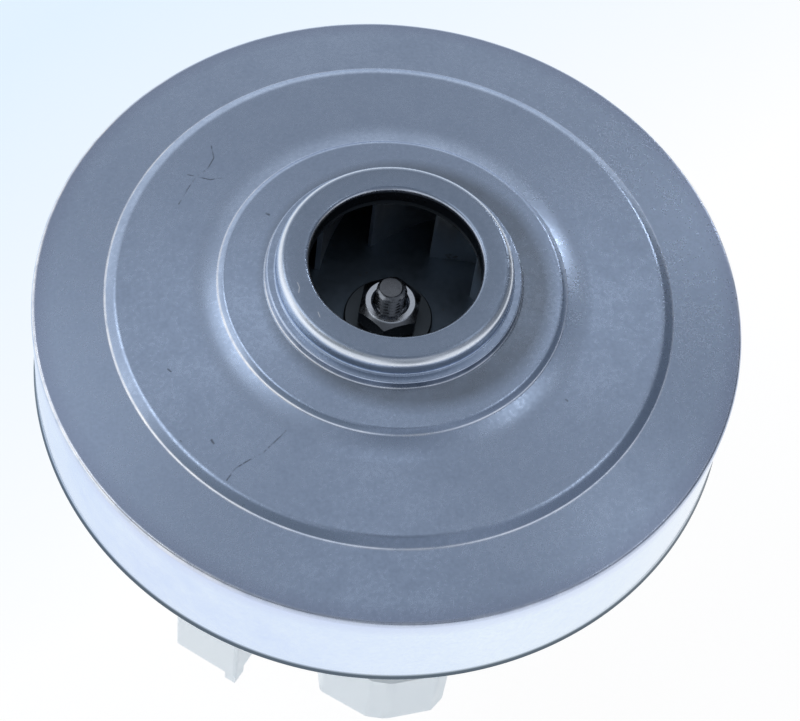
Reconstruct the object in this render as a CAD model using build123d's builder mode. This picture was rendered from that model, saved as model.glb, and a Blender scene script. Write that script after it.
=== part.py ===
from build123d import *
import math
import os

os.makedirs("parts", exist_ok=True)

# Heights are measured along the shaft from the flat end of the rear bearing boss.
# The inlet looks towards +Z, the carbon brushes lie along Y and the field poles along X.

# Fan cover
sheet = 0.8
cover_r = 67.5
cover_lip_r = 67.95
cover_bottom = 80.0
cover_lip_h = 1.0
rim_z = 102.2
rim_foot_r = 54.0
rim_foot_z = 104.5
dish_r = 51.9
dish_z = 105.9
dish_middle_r = 41.0
dish_middle_z = 106.9
ring_foot_r = 33.3
ring_foot_z = 108.2
ring_r = 31.9
ring_z = 109.5
flange_r = 23.9
collar_foot_r = 24.1
collar_foot_z = 110.3
flange_z = 112.2
collar_r = 22.2
collar_top = 116.2
inlet_r = 16.2
inlet_lip = 3.8
lip_bend = 1.0
rim_bend = 1.5

# Shaft and impeller
shaft_r = 4.0
shaft_core_r = 5.0
shaft_bottom = 1.6
shaft_top = 107.0
thread_r = 3.0
thread_lead = 1.0
shaft_bevel = 0.5
plate_z = 94.6
plate_t = 1.0
impeller_r = 54.0
shroud_edge_z = 101.4
shroud_bend = 5.0
shroud_bend_r = 19.3
shroud_bend_z = 107.4
shroud_eye_r = 16.4
shroud_eye_z = 111.0
vane_count = 9
vane_t = 1.0
vane_inner_r = 17.5
vane_middle_r = 34.0
vane_outer_r = 53.4
vane_start = 14.2
vane_middle_turn = -47.8
vane_outer_turn = -75.0
washer_r = 8.5
washer_t = 1.4
washer_bevel = 0.5
nut_flats = 11.0
nut_h = 5.2
nut_turn = 12.0
nut_ring_r = 5.4
nut_bevel = 0.55
nut_sink = 0.5
sleeve_r = 7.0

# Diffuser under the impeller
diffuser_z = 91.4
diffuser_t = 1.6
diffuser_r = 63.0
diffuser_bore_r = 9.0
diffuser_hub_r = 16.0
guide_count = 15
guide_t = 1.4
guide_inner_r = 56.4
guide_middle_r = 59.1
guide_outer_r = 62.2
guide_middle_turn = -8.0
guide_outer_turn = -18.0
guide_top = 101.7
return_count = 12
return_inner_r = 39.5
return_outer_r = 62.0
return_inner_turn = 24.0
return_middle_turn = 17.0
boss_r = 3.6
boss_ring_r = 50.0
boss_count = 3
boss_start = 30.0
boss_hole_depth = 7.0
small_screw_r = 1.5
small_screw_hole_r = 1.7
small_screw_length = 7.6
small_head_r = 2.8
small_head_h = 2.0
small_head_taper = 10

# Front bracket
bracket_z = 80.4
bracket_t = 1.6
bracket_rim_h = 9.0
bracket_ring_r = 36.5
spoke_count = 4
spoke_start = 45.0
spoke_inner_r = 10.0
spoke_outer_r = 40.0
spoke_w = 9.0
spoke_rib_inner_r = 12.6
spoke_rib_outer_r = 38.0
spoke_rib_w = 2.4
spoke_rib_h = 3.4
spoke_rib_taper = 12
seat_wall = 2.2
seat_bottom = 79.4
seat_lip = 1.2
seat_lip_r = 8.4
pillar_r = 4.6

# Ball bearings, both 8 x 22 x 7
bearing_r = 11.0
bearing_w = 7.0
inner_ring_r = 5.7
outer_ring_r = 9.3
shield_r = 6.1
shield_t = 0.5
front_bearing_z = 80.8
rear_bearing_z = 2.0

# Stator
core_bottom = 43.0
core_top = 71.0
core_half_x = 41.0
core_half_y = 31.0
core_corner_r = 45.0
bore_r = 22.3
shoe_r = 25.4
shoe_angle = 55.0
slot_r = 33.3
slot_half_y = 23.5
pole_angle = 26.5
screw_x = 34.0
screw_y = 22.0
screw_r = 2.0
screw_hole_r = 2.2
screw_head_r = 3.6
screw_head_h = 3.0
screw_head_taper = 8
screw_tip_depth = 7.9
coil_inner_r = 26.1
coil_outer_r = 32.5
coil_window = 27.2
coil_angle = 45.0
coil_rise = 7.5
former_t = 1.0
former_margin = 0.9
former_wall = 1.4
former_wall_h = 7.0
former_bore_r = 23.2
former_inner_angle = 48.0
former_outer_r = 33.6
former_outer_angle = 36.0
former_gap = 0.2

# Armature
armature_r = 21.8
armature_bottom = 42.0
armature_top = 72.0
slot_count = 22
slot_floor_r = 12.5
slot_shoulder_r = 19.3
slot_neck_r = 20.2
slot_half_w = 1.9
slot_floor_half_w = 0.9
slot_mouth_w = 1.5
winding_gap = 0.15
winding_r = 20.2
winding_top_r = 16.2
winding_neck_r = 8.0
winding_rise = 6.4
winding_shoulder = 4.8
winding_throat = 3.8
commutator_r = 11.5
commutator_bottom = 14.0
commutator_top = 31.4
riser_r = 12.8
riser_h = 2.4
bar_inner_r = 8.0
bar_gap = 0.5

# Rear bridge
rear_boss_r = 15.0
rear_boss_hole_r = 5.0
rear_floor = 1.5
sleeve_wall = 1.8
sleeve_top = 9.6
bridge_hub_r = 20.0
bridge_hub_z = 8.5
bridge_hub_top = 13.2
arm_half_w = 10.0
arm_root_x = 14.0
arm_knee_x = 27.0
arm_knee_z = 9.5
arm_shoulder_x = 37.5
arm_shoulder_z = 23.0
arm_t = 3.5
arm_rib_w = 2.2
arm_rib_h = 2.0
arm_bend = 7.0
foot_bend = 1.0
rib_start_x = 19.5
rib_start_z = 9.2
foot_z = 38.5
foot_inner_x = 35.6
foot_outer_x = 40.8
foot_boss_r = 5.0
web_w = 3.0
web_start = 13.8
washer_gap = 0.1
washer_ring_r = 8.5

# Brush gear
brush_z = 21.0
brush_w = 6.3
brush_h = 11.0
brush_face_gap = 0.1
brush_length = 24.0
tube_gap = 0.1
tube_wall = 0.6
tube_start = 14.2
tube_end = 44.4
box_wall = 1.6
box_end = 43.6
tab_w = 4.8
tab_t = 0.8
tab_top = 36.0
tab_place = 36.0
tab_gap = 0.2
spring_r = 2.7
spring_wall = 0.5
hood_half_w = 13.0
hood_start = 35.0
hood_end = 47.4
hood_bottom = 12.0
hood_top = 30.2
hood_nose_x = 4.0
hood_nose_drop = 1.0
hood_long_bevel = 7.8
hood_short_bevel = 3.8
hood_short_bevel_w = 3.0
hood_slot_w = 6.8
hood_slot_l = 4.8
hood_bends = [1.5, 1.5, 6.0, 2.0, 1.5]

# Terminal block at one corner of the stator
terminal_angle = 231.0
terminal_shift = -4.0
terminal_w = 14.4
terminal_inner = 45.2
terminal_outer = 55.2
terminal_bottom = 35.0
terminal_top = 52.0
terminal_wall = 1.4
terminal_corner_r = 0.8
terminal_roof = 4.0
terminal_foot_z = 39.0
terminal_foot_inner = 37.0
terminal_foot_w = 7.0
terminal_foot_shift = 3.0
terminal_leg = 2.6
terminal_leg_w = 2.4
terminal_leg_depth = 3.2
blade_w = 4.8
blade_t = 0.8
blade_bottom = 2.0

# Derived sizes
inner_skin_r = cover_r - sheet
plate_top = plate_z + plate_t
nut_z = plate_top + washer_t
nut_top = nut_z + nut_h
nut_corner = nut_flats / math.sqrt(3)
diffuser_top = diffuser_z + diffuser_t
bracket_top = bracket_z + bracket_t
front_bearing_top = front_bearing_z + bearing_w
coil_bottom = core_bottom - coil_rise
coil_top = core_top + coil_rise
rear_seat_r = bearing_r + sleeve_wall
tube_w = brush_w + 2 * (tube_gap + tube_wall)
tube_h = brush_h + 2 * (tube_gap + tube_wall)
box_w = tube_w + 2 * box_wall
box_h = tube_h + 2 * box_wall
brush_inner = commutator_r + brush_face_gap
brush_outer = brush_inner + brush_length
screw_places = [(x, y) for x in (-screw_x, screw_x) for y in (-screw_y, screw_y)]
brush_sides = {"front": -1, "rear": 1}


def polar(radius, degrees):
    """Point at a radius and an angle in the plane across the shaft."""
    angle = math.radians(degrees)
    return Vector(radius * math.cos(angle), radius * math.sin(angle))


def vane_face(inner, middle, outer, thickness):
    """Plan of a sheet vane that is bent to one arc through three points."""
    spine = Edge.make_three_point_arc(inner, middle, outer)
    centre = spine.arc_center
    sides = []
    for offset_by in (-thickness / 2, thickness / 2):
        scale = 1 + offset_by / spine.radius
        sides.append([centre + (point - centre) * scale for point in (inner, middle, outer)])
    with BuildSketch() as plan:
        with BuildLine():
            near = ThreePointArc(*sides[0])
            far = ThreePointArc(*sides[1])
            Line(near @ 0, far @ 0)
            Line(near @ 1, far @ 1)
        make_face()
    return plan.sketch


def sector_face(inner, outer, half_angle, middle=0.0):
    """Part of a ring, from one radius to another, centred on an angle."""
    with BuildSketch() as plan:
        with BuildLine():
            low, mid, high = middle - half_angle, middle, middle + half_angle
            outside = ThreePointArc(polar(outer, low), polar(outer, mid), polar(outer, high))
            inside = ThreePointArc(polar(inner, low), polar(inner, mid), polar(inner, high))
            Line(inside @ 0, outside @ 0)
            Line(inside @ 1, outside @ 1)
        make_face()
    return plan.sketch


def lamination_face(margin):
    """Two-pole lamination; a margin draws its edges in from the iron's own."""
    with BuildSketch() as plan:
        Rectangle(2 * (core_half_x - margin), 2 * (core_half_y - margin))
        Circle(core_corner_r - margin, mode=Mode.INTERSECT)
        with BuildSketch(mode=Mode.PRIVATE) as well:
            Circle(slot_r + margin)
            Rectangle(2 * (slot_r + margin), 2 * (slot_half_y + margin), mode=Mode.INTERSECT)
        add(well.sketch, mode=Mode.SUBTRACT)
        for middle in (0, 180):
            add(sector_face(bore_r + margin, slot_r + 2 * margin + 0.5, pole_angle, middle))
            add(sector_face(bore_r + margin, shoe_r, shoe_angle - margin, middle))
        with Locations(*screw_places):
            Circle(screw_hole_r + margin, mode=Mode.SUBTRACT)
    return plan.sketch


def radial_plane(side, distance):
    """Plane square to a brush, facing outwards, at a distance from the shaft."""
    return Plane(origin=(0, side * distance, brush_z), x_dir=(-side, 0, 0), z_dir=(0, side, 0))


def brush_plan_plane(side, height):
    """Level plane whose y axis runs outwards along a brush."""
    return Plane(origin=(0, 0, height), x_dir=(side, 0, 0), z_dir=(0, 0, 1))


def slot_outline(gap):
    """Armature slot in plan, its length along x from the slot's floor outwards."""
    wide = slot_half_w - gap
    narrow = slot_floor_half_w - gap
    with BuildSketch() as plan:
        with BuildLine():
            Polyline(
                (slot_floor_r + gap, -narrow),
                (slot_shoulder_r, -wide),
                (slot_neck_r, -narrow),
                (slot_neck_r, narrow),
                (slot_shoulder_r, wide),
                (slot_floor_r + gap, narrow),
                close=True,
            )
        make_face()
    return plan.sketch


def outer_race():
    """Outer ring of a ball bearing with its two shields, standing on z = 0."""
    with BuildPart() as race:
        with BuildSketch(Plane.XZ):
            with BuildLine():
                Polyline(
                    (shield_r, 0),
                    (bearing_r, 0),
                    (bearing_r, bearing_w),
                    (shield_r, bearing_w),
                    (shield_r, bearing_w - shield_t),
                    (outer_ring_r, bearing_w - shield_t),
                    (outer_ring_r, shield_t),
                    (shield_r, shield_t),
                    close=True,
                )
            make_face()
        revolve(axis=Axis.Z)
    return race.part


# Fan cover: one pressed sheet from the rolled inlet lip out over the steps to the flared foot
with BuildPart() as fan_cover:
    with BuildSketch(Plane.XZ):
        with BuildLine():
            skin = FilletPolyline(
                (inlet_r, collar_top - inlet_lip),
                (inlet_r, collar_top),
                (collar_r, collar_top),
                (collar_r, flange_z),
                (flange_r, flange_z),
                (collar_foot_r, collar_foot_z),
                (ring_r, ring_z),
                (ring_foot_r, ring_foot_z),
                (dish_middle_r, dish_middle_z),
                (dish_r, dish_z),
                (rim_foot_r, rim_foot_z),
                (cover_r, rim_z),
                (cover_r, cover_bottom + cover_lip_h),
                (cover_lip_r, cover_bottom),
                radius=[lip_bend, rim_bend, 0, 0, 0, 0, 0, 0, 0, 0, rim_bend, 0],
            )
            offset(skin, amount=sheet, side=Side.RIGHT, kind=Kind.INTERSECTION)
        make_face()
    revolve(axis=Axis.Z)
fan_cover.part.label = "fan_cover"
export_step(fan_cover.part, "parts/fan_cover.step")

# Impeller: flat plate, curved vanes and a dished shroud whose neck stands under the inlet
with BuildPart() as impeller_plate:
    with BuildSketch(Plane.XY.offset(plate_z)):
        Circle(impeller_r)
        Circle(thread_r, mode=Mode.SUBTRACT)
    extrude(amount=plate_t)
impeller_plate.part.label = "impeller_plate"
export_step(impeller_plate.part, "parts/impeller_plate.step")

with BuildPart() as impeller_shroud:
    with BuildSketch(Plane.XZ):
        with BuildLine():
            roof = FilletPolyline(
                (impeller_r, shroud_edge_z),
                (shroud_bend_r, shroud_bend_z),
                (shroud_eye_r, shroud_eye_z),
                radius=shroud_bend,
            )
            offset(roof, amount=plate_t, side=Side.RIGHT)
        make_face()
    revolve(axis=Axis.Z)
impeller_shroud.part.label = "impeller_shroud"
export_step(impeller_shroud.part, "parts/impeller_shroud.step")

with BuildPart() as impeller_vanes:
    with BuildSketch(Plane.XY.offset(plate_top)):
        with PolarLocations(0, vane_count, start_angle=vane_start):
            add(
                vane_face(
                    polar(vane_inner_r, 0),
                    polar(vane_middle_r, vane_middle_turn),
                    polar(vane_outer_r, vane_outer_turn),
                    vane_t,
                )
            )
    extrude(amount=shroud_eye_z - plate_top)
    with BuildSketch(Plane.XZ):
        with BuildLine():
            ceiling = FilletPolyline(
                (impeller_r, shroud_edge_z),
                (shroud_bend_r, shroud_bend_z),
                (shroud_eye_r, shroud_eye_z),
                radius=shroud_bend,
            )
            Polyline(
                ceiling @ 1,
                (shroud_eye_r, plate_top),
                (impeller_r, plate_top),
                ceiling @ 0,
            )
        make_face()
    revolve(axis=Axis.Z, mode=Mode.INTERSECT)
impeller_vanes.part.label = "impeller_vanes"
export_step(impeller_vanes.part, "parts/impeller_vanes.step")

with BuildPart() as spacer_sleeve:
    with BuildSketch(Plane.XY.offset(front_bearing_top)):
        Circle(sleeve_r)
        Circle(shaft_r, mode=Mode.SUBTRACT)
    extrude(amount=plate_z - front_bearing_top)
spacer_sleeve.part.label = "spacer_sleeve"
export_step(spacer_sleeve.part, "parts/spacer_sleeve.step")

with BuildPart() as clamp_washer:
    with BuildSketch(Plane.XY.offset(plate_top)):
        Circle(washer_r)
        Circle(thread_r, mode=Mode.SUBTRACT)
    extrude(amount=washer_t)
    chamfer(clamp_washer.edges().group_by(Axis.Z)[-1].sort_by(SortBy.RADIUS)[-1], washer_bevel)
clamp_washer.part.label = "clamp_washer"
export_step(clamp_washer.part, "parts/clamp_washer.step")

with BuildPart() as impeller_nut:
    with BuildSketch(Plane.XY.offset(nut_z)):
        RegularPolygon(nut_flats / 2, 6, major_radius=False, rotation=nut_turn)
    extrude(amount=nut_h)
    with BuildSketch(Plane.XZ):
        with BuildLine():
            Polyline(
                (thread_r, nut_z),
                (nut_corner, nut_z),
                (nut_corner, nut_top - nut_bevel),
                (nut_ring_r, nut_top),
                (thread_r + nut_sink, nut_top),
                (thread_r, nut_top - nut_sink),
                close=True,
            )
        make_face()
    revolve(axis=Axis.Z, mode=Mode.INTERSECT)
impeller_nut.part.label = "impeller_nut"
export_step(impeller_nut.part, "parts/impeller_nut.step")

with BuildPart() as shaft:
    with BuildSketch(Plane.XZ):
        with BuildLine():
            Polyline(
                (0, shaft_bottom),
                (shaft_r - shaft_bevel, shaft_bottom),
                (shaft_r, shaft_bottom + shaft_bevel),
                (shaft_r, commutator_top),
                (shaft_core_r, commutator_top),
                (shaft_core_r, front_bearing_z),
                (shaft_r, front_bearing_z),
                (shaft_r, plate_z),
                (thread_r, plate_z),
                (thread_r, shaft_top - thread_lead),
                (thread_r - thread_lead, shaft_top),
                (0, shaft_top),
                close=True,
            )
        make_face()
    revolve(axis=Axis.Z)
shaft.part.label = "shaft"
export_step(shaft.part, "parts/shaft.step")

# Diffuser: guide vanes round the impeller, return vanes under the disc
with BuildPart() as diffuser:
    with BuildSketch(Plane.XY.offset(diffuser_z)):
        Circle(diffuser_r)
        Circle(diffuser_bore_r, mode=Mode.SUBTRACT)
    extrude(amount=diffuser_t)
    with BuildSketch(Plane.XY.offset(front_bearing_top + seat_lip)):
        Circle(diffuser_hub_r)
        Circle(diffuser_bore_r, mode=Mode.SUBTRACT)
    extrude(amount=diffuser_z - front_bearing_top - seat_lip)
    with BuildSketch(Plane.XY.offset(diffuser_top)):
        with PolarLocations(0, guide_count):
            add(
                vane_face(
                    polar(guide_inner_r, 0),
                    polar(guide_middle_r, guide_middle_turn),
                    polar(guide_outer_r, guide_outer_turn),
                    guide_t,
                )
            )
    extrude(amount=guide_top - diffuser_top)
    with BuildSketch(Plane.XY.offset(bracket_top)):
        with PolarLocations(0, return_count):
            add(
                vane_face(
                    polar(return_inner_r, return_inner_turn),
                    polar((return_inner_r + return_outer_r) / 2, return_middle_turn),
                    polar(return_outer_r, 0),
                    guide_t,
                )
            )
        with PolarLocations(boss_ring_r, boss_count, start_angle=boss_start):
            Circle(boss_r)
    extrude(amount=diffuser_z - bracket_top)
    with BuildSketch(Plane.XY.offset(bracket_top)):
        with PolarLocations(boss_ring_r, boss_count, start_angle=boss_start):
            Circle(small_screw_r)
    extrude(amount=boss_hole_depth, mode=Mode.SUBTRACT)
diffuser.part.label = "diffuser"
export_step(diffuser.part, "parts/diffuser.step")

# Front bracket: a pressed cup that closes the cover, with spokes to the bearing seat
with BuildPart() as front_bracket:
    with BuildSketch(Plane.XZ):
        with BuildLine():
            Polyline(
                (bracket_ring_r, bracket_z),
                (inner_skin_r, bracket_z),
                (inner_skin_r, bracket_z + bracket_rim_h),
                (inner_skin_r - bracket_t, bracket_z + bracket_rim_h),
                (inner_skin_r - bracket_t, bracket_top),
                (bracket_ring_r, bracket_top),
                close=True,
            )
        make_face()
    revolve(axis=Axis.Z)
    with BuildSketch(Plane.XY.offset(bracket_z)):
        with PolarLocations((spoke_inner_r + spoke_outer_r) / 2, spoke_count, start_angle=spoke_start):
            Rectangle(spoke_outer_r - spoke_inner_r, spoke_w)
    extrude(amount=bracket_t)
    with BuildSketch(Plane.XY.offset(bracket_top)):
        rib_middle_r = (spoke_rib_inner_r + spoke_rib_outer_r) / 2
        with PolarLocations(rib_middle_r, spoke_count, start_angle=spoke_start):
            Rectangle(spoke_rib_outer_r - spoke_rib_inner_r, spoke_rib_w)
    extrude(amount=spoke_rib_h, taper=spoke_rib_taper)
    with BuildSketch(Plane.XY.offset(seat_bottom)):
        Circle(bearing_r + seat_wall)
    extrude(amount=front_bearing_top + seat_lip - seat_bottom)
    with BuildSketch(Plane.XY.offset(seat_bottom)):
        Circle(bearing_r)
    extrude(amount=front_bearing_top - seat_bottom, mode=Mode.SUBTRACT)
    with BuildSketch(Plane.XY.offset(front_bearing_top)):
        Circle(seat_lip_r)
    extrude(amount=seat_lip, mode=Mode.SUBTRACT)
    with BuildSketch(Plane.XY.offset(core_top)):
        with Locations(*screw_places):
            Circle(pillar_r)
    extrude(amount=bracket_z - core_top)
    with BuildSketch(Plane.XY.offset(core_top)):
        with Locations(*screw_places):
            Circle(screw_r)
    extrude(amount=bracket_z - core_top, mode=Mode.SUBTRACT)
    with BuildSketch(Plane.XY.offset(bracket_z)):
        with PolarLocations(boss_ring_r, boss_count, start_angle=boss_start):
            Circle(small_screw_hole_r)
    extrude(amount=bracket_t, mode=Mode.SUBTRACT)
front_bracket.part.label = "front_bracket"
export_step(front_bracket.part, "parts/front_bracket.step")

with BuildPart() as diffuser_screws:
    with BuildSketch(Plane.XY.offset(bracket_z)):
        with PolarLocations(boss_ring_r, boss_count, start_angle=boss_start):
            Circle(small_screw_r)
    extrude(amount=small_screw_length)
    with BuildSketch(Plane.XY.offset(bracket_z)):
        with PolarLocations(boss_ring_r, boss_count, start_angle=boss_start):
            Circle(small_head_r)
    extrude(amount=-small_head_h, taper=small_head_taper)
diffuser_screws.part.label = "diffuser_screws"
export_step(diffuser_screws.part, "parts/diffuser_screws.step")

# Ball bearings
for name, height in {"front": front_bearing_z, "rear": rear_bearing_z}.items():
    with BuildPart() as bearing_outer:
        with Locations((0, 0, height)):
            add(outer_race())
    bearing_outer.part.label = f"{name}_bearing_outer"
    export_step(bearing_outer.part, f"parts/{name}_bearing_outer.step")

    with BuildPart() as bearing_inner:
        with BuildSketch(Plane.XY.offset(height)):
            Circle(inner_ring_r)
            Circle(shaft_r, mode=Mode.SUBTRACT)
        extrude(amount=bearing_w)
    bearing_inner.part.label = f"{name}_bearing_inner"
    export_step(bearing_inner.part, f"parts/{name}_bearing_inner.step")

# Stator core, coil formers and field coils
with BuildPart() as stator_core:
    with BuildSketch(Plane.XY.offset(core_bottom)):
        add(lamination_face(0))
    extrude(amount=core_top - core_bottom)
stator_core.part.label = "stator_core"
export_step(stator_core.part, "parts/stator_core.step")

for name, face_z, grow in (("front", core_top, 1), ("rear", core_bottom, -1)):
    with BuildPart() as coil_former:
        with BuildSketch(Plane.XY.offset(face_z)):
            add(lamination_face(former_margin))
            Rectangle(2 * (foot_inner_x - former_gap), 2 * core_half_y, mode=Mode.INTERSECT)
            with Locations(*screw_places):
                Circle(foot_boss_r + former_gap, mode=Mode.SUBTRACT)
        extrude(amount=grow * former_t)
        with BuildSketch(Plane.XY.offset(face_z)):
            for middle in (0, 180):
                add(sector_face(former_bore_r, former_bore_r + former_wall, former_inner_angle, middle))
                add(sector_face(former_outer_r, former_outer_r + former_wall, former_outer_angle, middle))
        extrude(amount=grow * former_wall_h)
    coil_former.part.label = f"{name}_coil_former"
    export_step(coil_former.part, f"parts/{name}_coil_former.step")

for name, middle in {"right": 0, "left": 180}.items():
    with BuildPart() as field_coil:
        with BuildSketch(Plane.XY.offset(coil_bottom)):
            add(sector_face(coil_inner_r, coil_outer_r, coil_angle, middle))
        extrude(amount=coil_top - coil_bottom)
        with BuildSketch(Plane.XY.offset(core_bottom - former_t)):
            add(sector_face(coil_inner_r - 1, coil_outer_r + 1, coil_window, middle))
        extrude(amount=core_top - core_bottom + 2 * former_t, mode=Mode.SUBTRACT)
    field_coil.part.label = f"{name}_field_coil"
    export_step(field_coil.part, f"parts/{name}_field_coil.step")

# Armature: slotted core, winding, commutator
with BuildPart() as armature_core:
    with BuildSketch(Plane.XY.offset(armature_bottom)):
        Circle(armature_r)
        Circle(shaft_core_r, mode=Mode.SUBTRACT)
        with PolarLocations(0, slot_count):
            add(slot_outline(0), mode=Mode.SUBTRACT)
        with PolarLocations(armature_r, slot_count):
            Rectangle(2 * (armature_r - slot_neck_r) + winding_gap, slot_mouth_w, mode=Mode.SUBTRACT)
    extrude(amount=armature_top - armature_bottom)
armature_core.part.label = "armature_core"
export_step(armature_core.part, "parts/armature_core.step")

with BuildPart() as armature_winding:
    with BuildSketch(Plane.XY.offset(armature_bottom)):
        with PolarLocations(0, slot_count):
            add(slot_outline(winding_gap))
    extrude(amount=armature_top - armature_bottom)
    for face_z, grow in ((armature_top, 1), (armature_bottom, -1)):
        with BuildSketch(Plane.XZ):
            with BuildLine():
                Polyline(
                    (shaft_core_r, face_z),
                    (winding_r, face_z),
                    (winding_r, face_z + grow * winding_shoulder),
                    (winding_top_r, face_z + grow * winding_rise),
                    (winding_neck_r, face_z + grow * winding_rise),
                    (shaft_core_r, face_z + grow * winding_throat),
                    close=True,
                )
            make_face()
        revolve(axis=Axis.Z)
armature_winding.part.label = "armature_winding"
export_step(armature_winding.part, "parts/armature_winding.step")

with BuildPart() as commutator_hub:
    with BuildSketch(Plane.XY.offset(commutator_bottom)):
        Circle(bar_inner_r)
        Circle(shaft_r, mode=Mode.SUBTRACT)
    extrude(amount=commutator_top - commutator_bottom)
commutator_hub.part.label = "commutator_hub"
export_step(commutator_hub.part, "parts/commutator_hub.step")

with BuildPart() as commutator_bars:
    with BuildSketch(Plane.XZ):
        with BuildLine():
            Polyline(
                (bar_inner_r, commutator_bottom),
                (commutator_r, commutator_bottom),
                (commutator_r, commutator_top - riser_h),
                (riser_r, commutator_top - riser_h),
                (riser_r, commutator_top),
                (bar_inner_r, commutator_top),
                close=True,
            )
        make_face()
    revolve(axis=Axis.Z)
    with BuildSketch(Plane.XY.offset(commutator_bottom)):
        with PolarLocations((bar_inner_r + riser_r) / 2, slot_count):
            Rectangle(2 * (riser_r - bar_inner_r), bar_gap)
    extrude(amount=commutator_top - commutator_bottom, mode=Mode.SUBTRACT)
commutator_bars.part.label = "commutator_bars"
export_step(commutator_bars.part, "parts/commutator_bars.step")

# Rear bridge: bearing boss, two bowed arms up to the stator and a box for each brush
with BuildPart() as rear_bridge:
    with BuildSketch():
        Circle(rear_boss_r)
    extrude(amount=bridge_hub_top)
    with BuildSketch(Plane.XY.offset(bridge_hub_z)):
        Circle(bridge_hub_r)
    extrude(amount=bridge_hub_top - bridge_hub_z)
    with BuildSketch(Plane.XZ):
        with BuildLine():
            arm_outside = FilletPolyline(
                (arm_root_x, bridge_hub_z),
                (arm_knee_x, arm_knee_z),
                (arm_shoulder_x, arm_shoulder_z),
                (foot_outer_x, foot_z),
                (foot_outer_x, core_bottom),
                radius=[arm_bend, arm_bend, foot_bend],
            )
            arm_inside = FilletPolyline(
                (arm_root_x, bridge_hub_top),
                (arm_knee_x - arm_t / 2, bridge_hub_top),
                (arm_shoulder_x - arm_t, arm_shoulder_z + arm_t / 2),
                (foot_inner_x, foot_z),
                (foot_inner_x, core_bottom),
                radius=[arm_bend - arm_t, arm_bend - arm_t, foot_bend],
            )
            Line(arm_outside @ 0, arm_inside @ 0)
            Line(arm_outside @ 1, arm_inside @ 1)
        make_face()
        mirror(about=Plane.YZ)
    extrude(amount=arm_half_w, both=True)
    for rib_start in (-arm_half_w, arm_half_w - arm_rib_w):
        with BuildSketch(Plane.XZ.offset(rib_start)):
            with BuildLine():
                rib_edge = FilletPolyline(
                    (rib_start_x, rib_start_z),
                    (arm_knee_x + arm_rib_h / 2, arm_knee_z - arm_rib_h),
                    (arm_shoulder_x + arm_rib_h, arm_shoulder_z),
                    (foot_outer_x - arm_rib_h / 2, foot_z),
                    radius=arm_bend,
                )
                Polyline(
                    rib_edge @ 1,
                    (arm_shoulder_x - arm_rib_h / 2, arm_shoulder_z + foot_bend),
                    (arm_knee_x - arm_t, arm_knee_z + arm_t / 2),
                    (rib_start_x, arm_knee_z),
                    rib_edge @ 0,
                )
            make_face()
            mirror(about=Plane.YZ)
        extrude(amount=arm_rib_w)
    with BuildSketch(Plane.XY.offset(foot_z)):
        for side in (-1, 1):
            with Locations((side * (foot_inner_x + foot_outer_x) / 2, 0)):
                Rectangle(foot_outer_x - foot_inner_x, 2 * screw_y)
        with Locations(*screw_places):
            Circle(foot_boss_r)
    extrude(amount=core_bottom - foot_z)
    for side in brush_sides.values():
        with BuildSketch(radial_plane(side, tube_start)):
            Rectangle(box_w, box_h)
        extrude(amount=box_end - tube_start)
        with BuildSketch(brush_plan_plane(side, bridge_hub_z)):
            with Locations((0, (web_start + hood_start) / 2)):
                Rectangle(web_w, hood_start - web_start)
        extrude(amount=bridge_hub_top - bridge_hub_z)
    for side in brush_sides.values():
        with BuildSketch(radial_plane(side, tube_start)):
            Rectangle(tube_w, tube_h)
        extrude(amount=box_end - tube_start, mode=Mode.SUBTRACT)
        with BuildSketch(brush_plan_plane(side, brush_z)):
            with Locations((0, tab_place)):
                Rectangle(tab_w + 2 * tab_gap, tab_t + 2 * tab_gap)
        extrude(amount=box_h, mode=Mode.SUBTRACT)
    with BuildSketch(Plane.XY.offset(foot_z)):
        with Locations(*screw_places):
            Circle(screw_hole_r)
    extrude(amount=core_bottom - foot_z, mode=Mode.SUBTRACT)
    with BuildSketch(Plane.XY.offset(rear_floor)):
        Circle(rear_seat_r)
    extrude(amount=commutator_top, mode=Mode.SUBTRACT)
    with BuildSketch():
        Circle(rear_boss_hole_r)
    extrude(amount=rear_floor, mode=Mode.SUBTRACT)
rear_bridge.part.label = "rear_bridge"
export_step(rear_bridge.part, "parts/rear_bridge.step")

with BuildPart() as rear_bearing_sleeve:
    with BuildSketch(Plane.XY.offset(rear_floor)):
        Circle(rear_seat_r)
        Circle(bearing_r, mode=Mode.SUBTRACT)
    extrude(amount=sleeve_top - rear_floor)
rear_bearing_sleeve.part.label = "rear_bearing_sleeve"
export_step(rear_bearing_sleeve.part, "parts/rear_bearing_sleeve.step")

with BuildPart() as preload_washer:
    with BuildSketch(Plane.XY.offset(rear_floor)):
        Circle(bearing_r - washer_gap)
        Circle(washer_ring_r, mode=Mode.SUBTRACT)
    extrude(amount=rear_bearing_z - rear_floor)
preload_washer.part.label = "preload_washer"
export_step(preload_washer.part, "parts/preload_washer.step")

with BuildPart() as frame_screws:
    with BuildSketch(Plane.XY.offset(foot_z)):
        with Locations(*screw_places):
            Circle(screw_r)
    extrude(amount=core_top + screw_tip_depth - foot_z)
    with BuildSketch(Plane.XY.offset(foot_z)):
        with Locations(*screw_places):
            Circle(screw_head_r)
    extrude(amount=-screw_head_h, taper=screw_head_taper)
frame_screws.part.label = "frame_screws"
export_step(frame_screws.part, "parts/frame_screws.step")

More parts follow.
